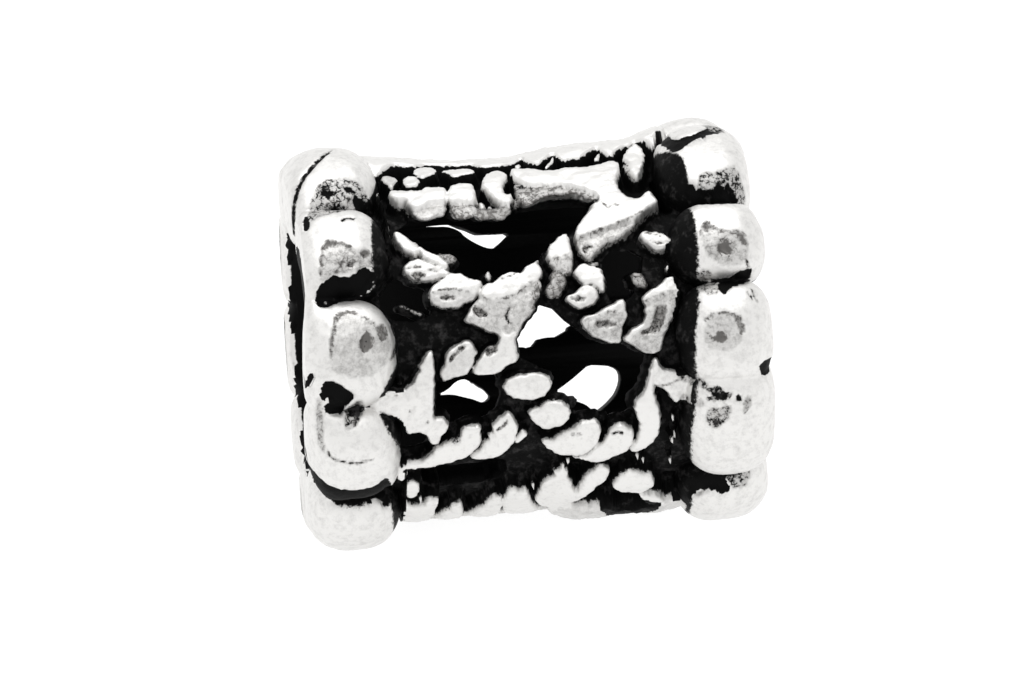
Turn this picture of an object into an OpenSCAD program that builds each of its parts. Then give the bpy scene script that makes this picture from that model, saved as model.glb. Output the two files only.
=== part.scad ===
// Dreadlock bead: one silver casting, lying on its side with its bore along X.
// A tube pierced with windows carries raised twisted-rope work between two rings of granules.
// Angles are degrees round the bore: 0 is the front (-Y), 90 is the top (+Z), 270 is the underside.
// Origin: the bore's axis at mid-length.

/* [Bead] */
// Length over the filed granules
bead_l = 12; // [11:0.1:15]
// Diameter of the bore that a dreadlock goes through
bore_d = 6.6; // [5.6:0.1:6.8]
// Wall of the tube, from the bore to the ground between the ropes
wall_t = 0.85; // [0.8:0.05:1.3]
// Diameter of the collar that each ring's granules are fused to
collar_d = 9.8; // [9.2:0.1:10.2]
// Axial width of a collar, from the bead's end
collar_w = 0.9; // [0.5:0.1:1.4]

/* [Granule rings] */
// Diameter of one granule
granule_d = 2.58; // [2.54:0.02:2.9]
// Granules in each ring
granule_count = 10; // [9:1:11]
// How far a granule's centre lies below the tube's surface
granule_sink = 0.05; // [0:0.01:0.2]
// How much is filed off each granule at the bead's ends
filed_t = 0.08; // [0.04:0.01:0.3]
// Turn of the left ring
left_turn = 33; // [0:1:35]
// Turn of the right ring
right_turn = -5; // [-18:1:18]

/* [Rope work] */
// Breadth of a full rope link
link_w = 0.96; // [0.6:0.02:1.1]
// How far the ropes stand above the ground
link_rise = 0.6; // [0.4:0.02:0.8]
// How deep the links are rooted in the wall
link_root = 0.2; // [0.15:0.05:0.6]
// Spacing of the links along a plain rope at the back
link_pitch = 1.1; // [0.9:0.05:1.6]
// Axial width of each end ring, where no rope work is
ring_w = 2; // [1.8:0.1:2.4]

/* [Hidden] */
$fn = 96;
EPS = 0.01;
SILVER = "#D9D9D6";

bore_r = bore_d / 2;
ground_r = bore_r + wall_t;
granule_r = granule_d / 2;
granule_ring_r = ground_r - granule_sink;
ring_x = bead_l / 2 + filed_t - granule_r;
field_half = bead_l / 2 - ring_w;

// Places on the bead are [along, round]: along is a share of field_half from mid-length,
// round is in degrees. Breadths are shares of link_w and rises are shares of link_rise.

// Rope links and bands of the front: [rise, [along, round, breadth], ...]
FRONT_LINKS = [
    // Upper edge, seen on the skyline
    [0.9, [-0.85, 104, 0.45], [-0.79, 96, 0.35]],
    [0.9, [-0.65, 103.5, 0.45], [-0.69, 96, 0.55]],
    [1, [-0.57, 112, 0.8], [-0.61, 101, 0.5]],
    [1, [-0.42, 110, 1], [-0.38, 99, 0.6]],
    [1, [-0.85, 120, 0.7], [-0.45, 119, 1], [0, 112, 0.9]],
    [0.8, [0.01, 101, 0.3], [0.04, 107, 0.3]],
    [1, [0.1, 104, 0.5], [0.16, 114, 0.8], [0.22, 124, 0.8]],
    [0.8, [0.195, 98.5, 0.2], [0.265, 108, 0.25]],
    [1, [0.34, 109, 0.8], [0.45, 113, 1], [0.5, 122, 1]],
    [1, [0.64, 106, 0.5], [0.68, 118, 0.9]],
    [0.9, [0.88, 103.5, 0.45], [0.86, 111, 0.4]],
    [1, [0.79, 103.5, 0.7], [0.76, 96, 0.65], [0.745, 88, 0.4]],
    // Upper rope and the smooth band that it runs into
    [0.9, [-0.8, 92, 0.5], [-0.72, 88.5, 0.55]],
    [0.8, [-0.78, 90, 0.4], [-0.83, 84, 0.25]],
    [1, [-0.6, 91.3, 1.25], [-0.61, 80, 1.1]],
    [1, [-0.375, 91.5, 0.85], [-0.38, 79.5, 0.85]],
    [0.55, [-0.44, 82, 0.5], [-0.1, 84, 0.55]],
    [0.8, [-0.1, 86.5, 0.5], [-0.12, 80.5, 0.5]],
    [1, [-0.11, 99.5, 0.75], [-0.16, 93, 0.8], [-0.165, 85, 0.5]],
    [1, [-0.03, 94, 0.9], [0.2, 91.5, 0.85], [0.45, 91, 0.95], [0.57, 87, 0.95], [0.57, 78, 0.75]],
    [0.9, [0.5, 92, 0.8], [0.64, 95, 0.6]],
    [0.6, [0.05, 83, 0.6], [0.25, 86.5, 0.6], [0.42, 82.5, 0.5]],
    [1.1, [0.3, 61, 0.8], [0.4, 66, 1.2], [0.52, 71, 1.35], [0.68, 73.5, 0.9], [0.82, 76.5, 0.7]],
    [1, [0.735, 63.5, 0.7], [0.9, 61, 0.65]],
    [0.6, [0.66, 51.5, 0.4], [0.68, 48, 0.5]],
    // Diagonal rope from the left ring to the forked boss
    [0.9, [-0.825, 73.5, 0.35], [-0.75, 66, 0.55]],
    [0.8, [-0.7, 66, 0.3], [-0.53, 58.5, 0.4]],
    [1, [-0.78, 59.5, 0.6], [-0.68, 58.8, 0.75], [-0.53, 56.8, 0.3]],
    [1, [-0.64, 49.5, 0.9], [-0.5, 51, 1.15], [-0.34, 51, 0.6]],
    [1, [-0.43, 42, 0.7], [-0.28, 42.5, 1.3], [-0.12, 44, 1.1], [0, 51, 0.9], [0.05, 57.5, 0.5]],
    [1.1, [-0.33, 50.5, 0.6], [-0.12, 50, 0.7], [0.04, 57, 0.5]],
    [1, [-0.16, 41, 1], [-0.18, 33, 0.55], [-0.18, 26, 0.5]],
    [1, [-0.6, 23.5, 0.4], [-0.52, 28, 0.85], [-0.43, 33.5, 0.5]],
    [1, [-0.43, 24, 0.35], [-0.32, 27, 0.8], [-0.2, 29, 0.9]],
    [0.9, [-0.36, 26, 0.5], [-0.27, 32.5, 0.5]],
    // Beads and short links round the great window
    [1, [0.235, 65.5, 0.4], [0.19, 60, 0.75], [0.21, 54.5, 0.5]],
    [0.7, [0.16, 53, 0.45], [0.13, 47, 0.4]],
    [1, [0.3, 55, 0.7], [0.41, 52, 0.7], [0.44, 48, 0.4]],
    [0.9, [0.21, 45.5, 0.5], [0.32, 45.5, 0.75], [0.39, 48, 0.35]],
    [1, [0.31, 35.5, 0.8], [0.42, 37, 1.05], [0.55, 40.5, 0.6]],
    [1, [0.56, 30.5, 0.5], [0.7, 29.5, 0.85], [0.79, 36, 0.85], [0.84, 46.5, 0.7]],
    [1, [-0.2, 18.7, 0.9], [0.02, 17.2, 0.85]],
    [1, [-0.05, 8.2, 0.85], [0.13, 6.5, 0.95]],
    // Spurs that tie the rope work to the rings
    [1, [-1.08, 14, 1], [-0.88, 15, 1.4], [-0.72, 14, 1]],
    [0.9, [-0.75, 14, 0.9], [-0.7, 22, 0.5], [-0.69, 31, 0.25]],
    [1, [-0.8, 11, 1], [-0.66, 6.5, 0.75]],
    [0.8, [-0.67, 7, 0.6], [-0.68, 1.5, 0.35]],
    [0.8, [0.74, 20, 0.5], [0.86, 16, 1], [1.05, 14, 1]],
    // Lower rope
    [1, [-0.94, -7.5, 0.3], [-0.75, -6.5, 0.4], [-0.58, -3, 0.85], [-0.44, 3.5, 0.55]],
    [1, [-0.45, -6, 0.35], [-0.32, -1.5, 0.95], [-0.22, 7.5, 0.55]],
    [0.7, [-0.165, 1.5, 0.25], [-0.1, 0.5, 0.3]],
    [0.8, [-0.92, -7, 0.35], [-0.9, -14, 0.35]],
    [0.9, [-0.83, -17, 0.45], [-0.83, -24, 0.45]],
    [1, [0.02, -2.5, 0.4], [0.2, -3, 1.05], [0.34, 1.5, 0.8]],
    [1, [0.3, -10, 0.4], [0.44, -6, 1], [0.53, 1, 0.65]],
    [1, [0.57, -8, 0.35], [0.68, -3, 0.7], [0.685, 6, 0.6], [0.68, 14, 0.35], [0.715, 23.5, 0.25]],
    // Underside
    [1, [-0.78, -30, 0.8], [-0.78, -56, 1.2]],
    [1, [-0.54, -34, 0.5], [-0.54, -56, 0.7]],
    [1, [-0.28, -29, 0.5], [-0.38, -44, 1], [-0.42, -57, 1]],
    [1, [-0.18, -24.5, 0.6], [-0.13, -35, 0.85], [-0.1, -57, 0.9]],
    [1, [0.14, -17, 0.4], [0.1, -26, 1.1], [0.1, -40, 1.3], [0.14, -52, 1]],
    [0.9, [0.4, -16.5, 0.45], [0.28, -25, 0.6], [0.2, -33, 0.6]],
    [1, [0.5, -22, 0.9], [0.66, -23, 0.9]],
    [1, [0.66, -30, 0.3], [0.77, -42, 0.5], [0.78, -52, 0.5]]
];

// Plain ropes of the back: their route, as [along, round]
BACK_ROPES = [
    [[-1, 141], [-0.6, 141], [-0.2, 147], [0.15, 153], [0.5, 152], [1, 146]],
    [[-1, 190], [-0.75, 178], [-0.55, 177], [-0.3, 187], [-0.13, 195]],
    [[-0.08, 196], [0.08, 190], [0.25, 182], [0.5, 173], [1, 176]],
    [[-1, 220], [-0.5, 219], [-0.1, 228], [0.2, 226], [0.6, 218], [1, 204]],
    [[-1, 240], [-0.6, 249], [-0.3, 253], [0, 249], [0.06, 236]],
    [[-1, 262], [-0.5, 261], [0.1, 264], [0.48, 262], [0.8, 250], [1, 226]],
    [[-1, 280], [-0.6, 293], [-0.1, 295], [0.12, 282], [0.2, 268]],
    [[0.15, 296], [0.5, 297], [0.8, 286], [1, 270]]
];

// Windows: [direction that the cutter comes from, then corner points [along, round] that are rounded]
WINDOWS = [
    // Front
    [25, [-0.16, 28], [-0.08, 43], [0.1, 45], [0.24, 36], [0.4, 31], [0.68, 29],
     [0.74, 16], [0.56, 1], [0.3, 1.5], [0.08, 12], [0.04, 22]],
    [15, [-0.68, 25], [-0.3, 25], [-0.22, 16], [-0.28, 7], [-0.44, 4], [-0.68, 5]],
    [40, [-0.86, 76], [-0.74, 82], [-0.6, 86], [-0.34, 86], [-0.22, 79], [0.05, 84], [0.2, 89],
     [0.48, 88], [0.5, 76], [0.26, 70], [0.16, 61], [-0.1, 55], [-0.32, 54], [-0.55, 61], [-0.74, 68]],
    [50, [0.44, 62], [0.74, 62], [0.7, 50], [0.6, 43], [0.46, 44]],
    [50, [-0.98, 58], [-0.8, 58], [-0.62, 51], [-0.66, 42], [-0.96, 43]],
    [85, [0.78, 76], [1, 76], [1, 97], [0.86, 98], [0.84, 88]],
    [0, [-0.94, -5], [-0.74, -4.5], [-0.66, 0], [-0.74, 5], [-0.92, 5]],
    [-20, [-0.78, -13], [-0.5, -17], [-0.22, -13], [-0.2, -25], [-0.4, -30], [-0.74, -30]],
    [-38, [0.28, -28], [0.44, -22], [0.62, -29], [0.74, -42], [0.66, -54], [0.34, -54]],
    [110, [-0.88, 106], [-0.66, 104], [-0.62, 113], [-0.66, 119], [-0.86, 119]],
    // Back, in line with the windows of the front so that daylight shows through
    [215, [0.24, 237.5], [0.4, 230], [0.52, 228.5], [0.66, 230], [0.73, 235], [0.67, 243.5],
     [0.48, 251], [0.34, 245]],
    [215, [-0.1, 222], [0.05, 221.5], [0.24, 219.5], [0.47, 213.5], [0.44, 207], [0.27, 204],
     [0.1, 206], [-0.1, 214]],
    [215, [-0.54, 234.5], [-0.38, 226.5], [-0.3, 232], [-0.17, 234], [-0.17, 241.5], [-0.3, 240.5]],
    [215, [-0.62, 160], [-0.42, 167.5], [-0.23, 177.5], [-0.1, 183], [0.01, 178.5], [0.14, 172],
     [0.16, 160], [-0.2, 156]],
    // Back, out of line
    [276, [-0.5, 264], [-0.1, 268], [0, 282], [-0.3, 288], [-0.55, 280]],
    [278, [0.24, 270], [0.56, 266], [0.82, 268], [0.7, 286], [0.3, 290]],
    [230, [-0.96, 226], [-0.74, 224], [-0.7, 236], [-0.94, 237]],
    [132, [-0.86, 127], [-0.4, 128], [-0.1, 138], [-0.5, 136], [-0.88, 137]],
    [139, [0.1, 132], [0.6, 134], [0.82, 140], [0.5, 146], [0.12, 144]]
];

// Half-breadths and heights of a link's section, from root to root over its crown
SECTION_SIDE = [-0.9, -0.8, 0, 0.8, 0.9];
SECTION_RISE = [0.75, 1, 0.75];
// How far a link's root reaches along it, as a share of its crown's reach
ROOT_DRAW = 0.85;
// Places of a link's rings between its two tips, for a short link and for each further stretch
RING_STEPS = [0.03, 0.25, 0.75, 0.97];
STRETCH_RINGS = 1;
// How square a link's tips are
TIP_POWER = 4;
// Lean of a plain rope's links: how far each end is off the route, as a share of link_w
ROPE_LEAN = 0.38;
// Length and breadth of a plain rope's link, as shares of its pitch and of link_w
LINK_OVERLAP = 1.5;
PLAIN_BREADTH = 0.85;
// How near the bore's wall a window's cutter starts, as a share of the way from mid-bore
CUTTER_START = 0.9;

function degrees_of(arc) = arc / ground_r * 180 / PI;
function on_bead(along, round, r) = [along, -r * cos(round), r * sin(round)];

// Curve through the points p at u from 0 to 1, as a Catmull-Rom spline
function clamp_at(p, i) = p[max(0, min(len(p) - 1, i))];
function spline(p, u) =
    let (s = u * (len(p) - 1), i = max(0, min(len(p) - 2, floor(s))), f = s - i,
         a = clamp_at(p, i - 1), b = p[i], c = p[i + 1], d = clamp_at(p, i + 2))
    0.5 * (2 * b + (c - a) * f + (2 * a - 5 * b + 4 * c - d) * f * f
           + (3 * b - a - 3 * c + d) * f * f * f);

function heading(p, u) =
    let (d = spline(p, min(1, u + EPS)) - spline(p, max(0, u - EPS)),
         flat = [d[0], d[1] * PI / 180 * ground_r])
    flat / norm(flat);

function ring_places(count) =
    count == 2 ? RING_STEPS
    : concat([RING_STEPS[0]],
             [for (k = [1 : (count - 1) * STRETCH_RINGS + 1]) k / ((count - 1) * STRETCH_RINGS + 2)],
             [RING_STEPS[3]]);

// One ring of a link's skin: tips are drawn in like a superellipse, and roots are narrower than crowns
function link_ring(p, u, rise) =
    let (tip = sqrt(1 - pow(abs(2 * u - 1), TIP_POWER)),
         top = rise * link_rise * (0.5 + 0.5 * tip))
    [for (j = [0 : len(SECTION_SIDE) - 1])
        let (rooted = j == 0 || j == len(SECTION_SIDE) - 1,
             v = rooted ? 0.5 + (u - 0.5) * ROOT_DRAW : u,
             c = spline(p, v), h = heading(p, v),
             side = SECTION_SIDE[j] * c[2] * tip,
             r = rooted ? ground_r - link_root : ground_r + top * SECTION_RISE[j - 1])
        on_bead(c[0] - h[1] * side, c[1] + degrees_of(h[0] * side), r)];

// A link or band through p = [[x, round, half-breadth], ...]
module link(p, rise) {
    places = ring_places(len(p));
    n = len(SECTION_SIDE);
    last = (len(places) - 1) * n;
    points = [for (u = places) each link_ring(p, u, rise)];
    skin = [for (i = [0 : len(places) - 2]) for (j = [0 : n - 1])
        let (a = i * n + j, b = i * n + (j + 1) % n)
        each [[a, b + n, a + n], [a, b, b + n]]];
    tips = [for (j = [1 : n - 2]) each [[0, j + 1, j], [last, last + j, last + j + 1]]];
    polyhedron(points, concat(skin, tips));
}

function scaled(p) = [for (q = p) [q[0] * field_half, q[1], q[2] * link_w / 2]];

function route_length(p, u, step) =
    u >= 1 ? 0
    : let (d = spline(p, u + step) - spline(p, u))
      norm([d[0], d[1] * PI / 180 * ground_r]) + route_length(p, u + step, step);

// A plain twisted rope: leaning links at one pitch along its route
module rope(route) {
    p = [for (q = route) [q[0] * field_half, q[1]]];
    count = round(route_length(p, 0, 0.05) / link_pitch);
    for (k = [0 : count - 1]) {
        mid = (k + 0.5) / count;
        reach = LINK_OVERLAP / 2 / count;
        lean = ROPE_LEAN * link_w;
        link([for (s = [-1, 1])
            let (c = spline(p, mid + s * reach), h = heading(p, mid))
            [c[0] - h[1] * s * lean, c[1] + degrees_of(h[0] * s * lean),
             PLAIN_BREADTH * link_w / 2]], 1);
    }
}

// Corner cutting: each corner becomes two points at its quarters
function rounded(c) =
    [for (i = [0 : len(c) - 1])
        let (a = c[i], b = c[(i + 1) % len(c)])
        each [0.75 * a + 0.25 * b, 0.25 * a + 0.75 * b]];

// A window's cutter: its outline, drawn on the plane across its direction, from inside the bore outwards
module window(row) {
    outline = rounded([for (i = [1 : len(row) - 1]) row[i]]);
    across = [for (q = outline) ground_r * sin(q[1] - row[0])];
    widest = min(CUTTER_START * bore_r, max([for (y = across) abs(y)]));
    inner = CUTTER_START * sqrt(bore_r * bore_r - widest * widest);
    rotate([-row[0], 0, 0])
        rotate([90, 0, 0])
            translate([0, 0, inner])
                linear_extrude(height = ground_r + link_rise - inner)
                    polygon([for (i = [0 : len(outline) - 1]) [outline[i][0] * field_half, across[i]]]);
}

module pierced_tube() {
    difference() {
        rotate([0, 90, 0])
            cylinder(h = bead_l + 2 * filed_t, r = ground_r, center = true);
        for (w = WINDOWS)
            window(w);
    }
}

module granule_ring(x, turn) {
    for (k = [0 : granule_count - 1])
        translate(on_bead(x, turn + k * 360 / granule_count, granule_ring_r))
            rotate([0, 90, 0])
                sphere(r = granule_r);
}

module collar(side) {
    translate([side * (bead_l / 2 + (filed_t - collar_w) / 2), 0, 0])
        rotate([0, 90, 0])
            cylinder(h = collar_w + filed_t, d = collar_d, center = true);
}

module front_ropes() {
    for (row = FRONT_LINKS)
        link(scaled([for (i = [1 : len(row) - 1]) row[i]]), row[0]);
}

module back_ropes() {
    for (route = BACK_ROPES)
        rope(route);
}

// The bored tube with its granules and collars, filed flat at both ends
module body() {
    far = 4 * granule_ring_r;
    difference() {
        union() {
            pierced_tube();
            granule_ring(-ring_x, left_turn);
            granule_ring(ring_x, right_turn);
            collar(-1);
            collar(1);
        }
        rotate([0, 90, 0])
            cylinder(h = 2 * bead_l, r = bore_r, center = true);
        for (side = [-1, 1])
            translate([side * (bead_l / 2 + far / 2), 0, 0])
                cube(far, center = true);
    }
}

// The casting, in one piece
module bead() {
    color(SILVER) {
        body();
        front_ropes();
        back_ropes();
    }
}

bead();
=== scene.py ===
import bpy
import numpy as np
from mathutils import Matrix, Vector


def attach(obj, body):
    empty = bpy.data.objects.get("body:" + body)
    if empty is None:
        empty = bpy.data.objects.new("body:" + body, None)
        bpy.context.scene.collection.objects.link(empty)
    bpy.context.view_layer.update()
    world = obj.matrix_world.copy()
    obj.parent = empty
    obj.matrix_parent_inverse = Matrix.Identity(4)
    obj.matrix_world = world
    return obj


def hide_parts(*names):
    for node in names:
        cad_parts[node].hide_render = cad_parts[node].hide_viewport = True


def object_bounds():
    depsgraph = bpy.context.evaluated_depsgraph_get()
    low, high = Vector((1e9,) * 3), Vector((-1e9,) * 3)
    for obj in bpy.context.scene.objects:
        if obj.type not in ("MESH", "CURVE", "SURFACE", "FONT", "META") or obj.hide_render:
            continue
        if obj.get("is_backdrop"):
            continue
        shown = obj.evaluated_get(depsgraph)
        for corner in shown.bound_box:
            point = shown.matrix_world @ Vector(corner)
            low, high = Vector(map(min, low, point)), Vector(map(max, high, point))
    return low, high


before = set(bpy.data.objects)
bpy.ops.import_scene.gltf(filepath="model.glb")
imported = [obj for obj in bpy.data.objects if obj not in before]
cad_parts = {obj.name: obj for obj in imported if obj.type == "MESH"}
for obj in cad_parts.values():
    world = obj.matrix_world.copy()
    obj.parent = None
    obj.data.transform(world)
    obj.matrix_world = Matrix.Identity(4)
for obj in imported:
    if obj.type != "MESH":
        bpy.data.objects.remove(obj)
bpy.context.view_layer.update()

# --- Rope work -----------------------------------------------------------------------------------
# The bead is one silver casting, made from a wax: twisted ropes, beads and leaves were laid on a
# tube and pierced through between them. Their tops stand about 0.55 mm above the tube, with steep
# sides. Places on the bead are (mm along it, degrees round it), 0 at the front and 90 at the top.

GROUND = 4.15           # radius of the tube between the ropes, mm
CROWN = 4.7             # radius at the tops of the ropes, mm
MM_ROUND = np.pi / 180 * CROWN      # mm round the bead for each degree, at the tops

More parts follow.
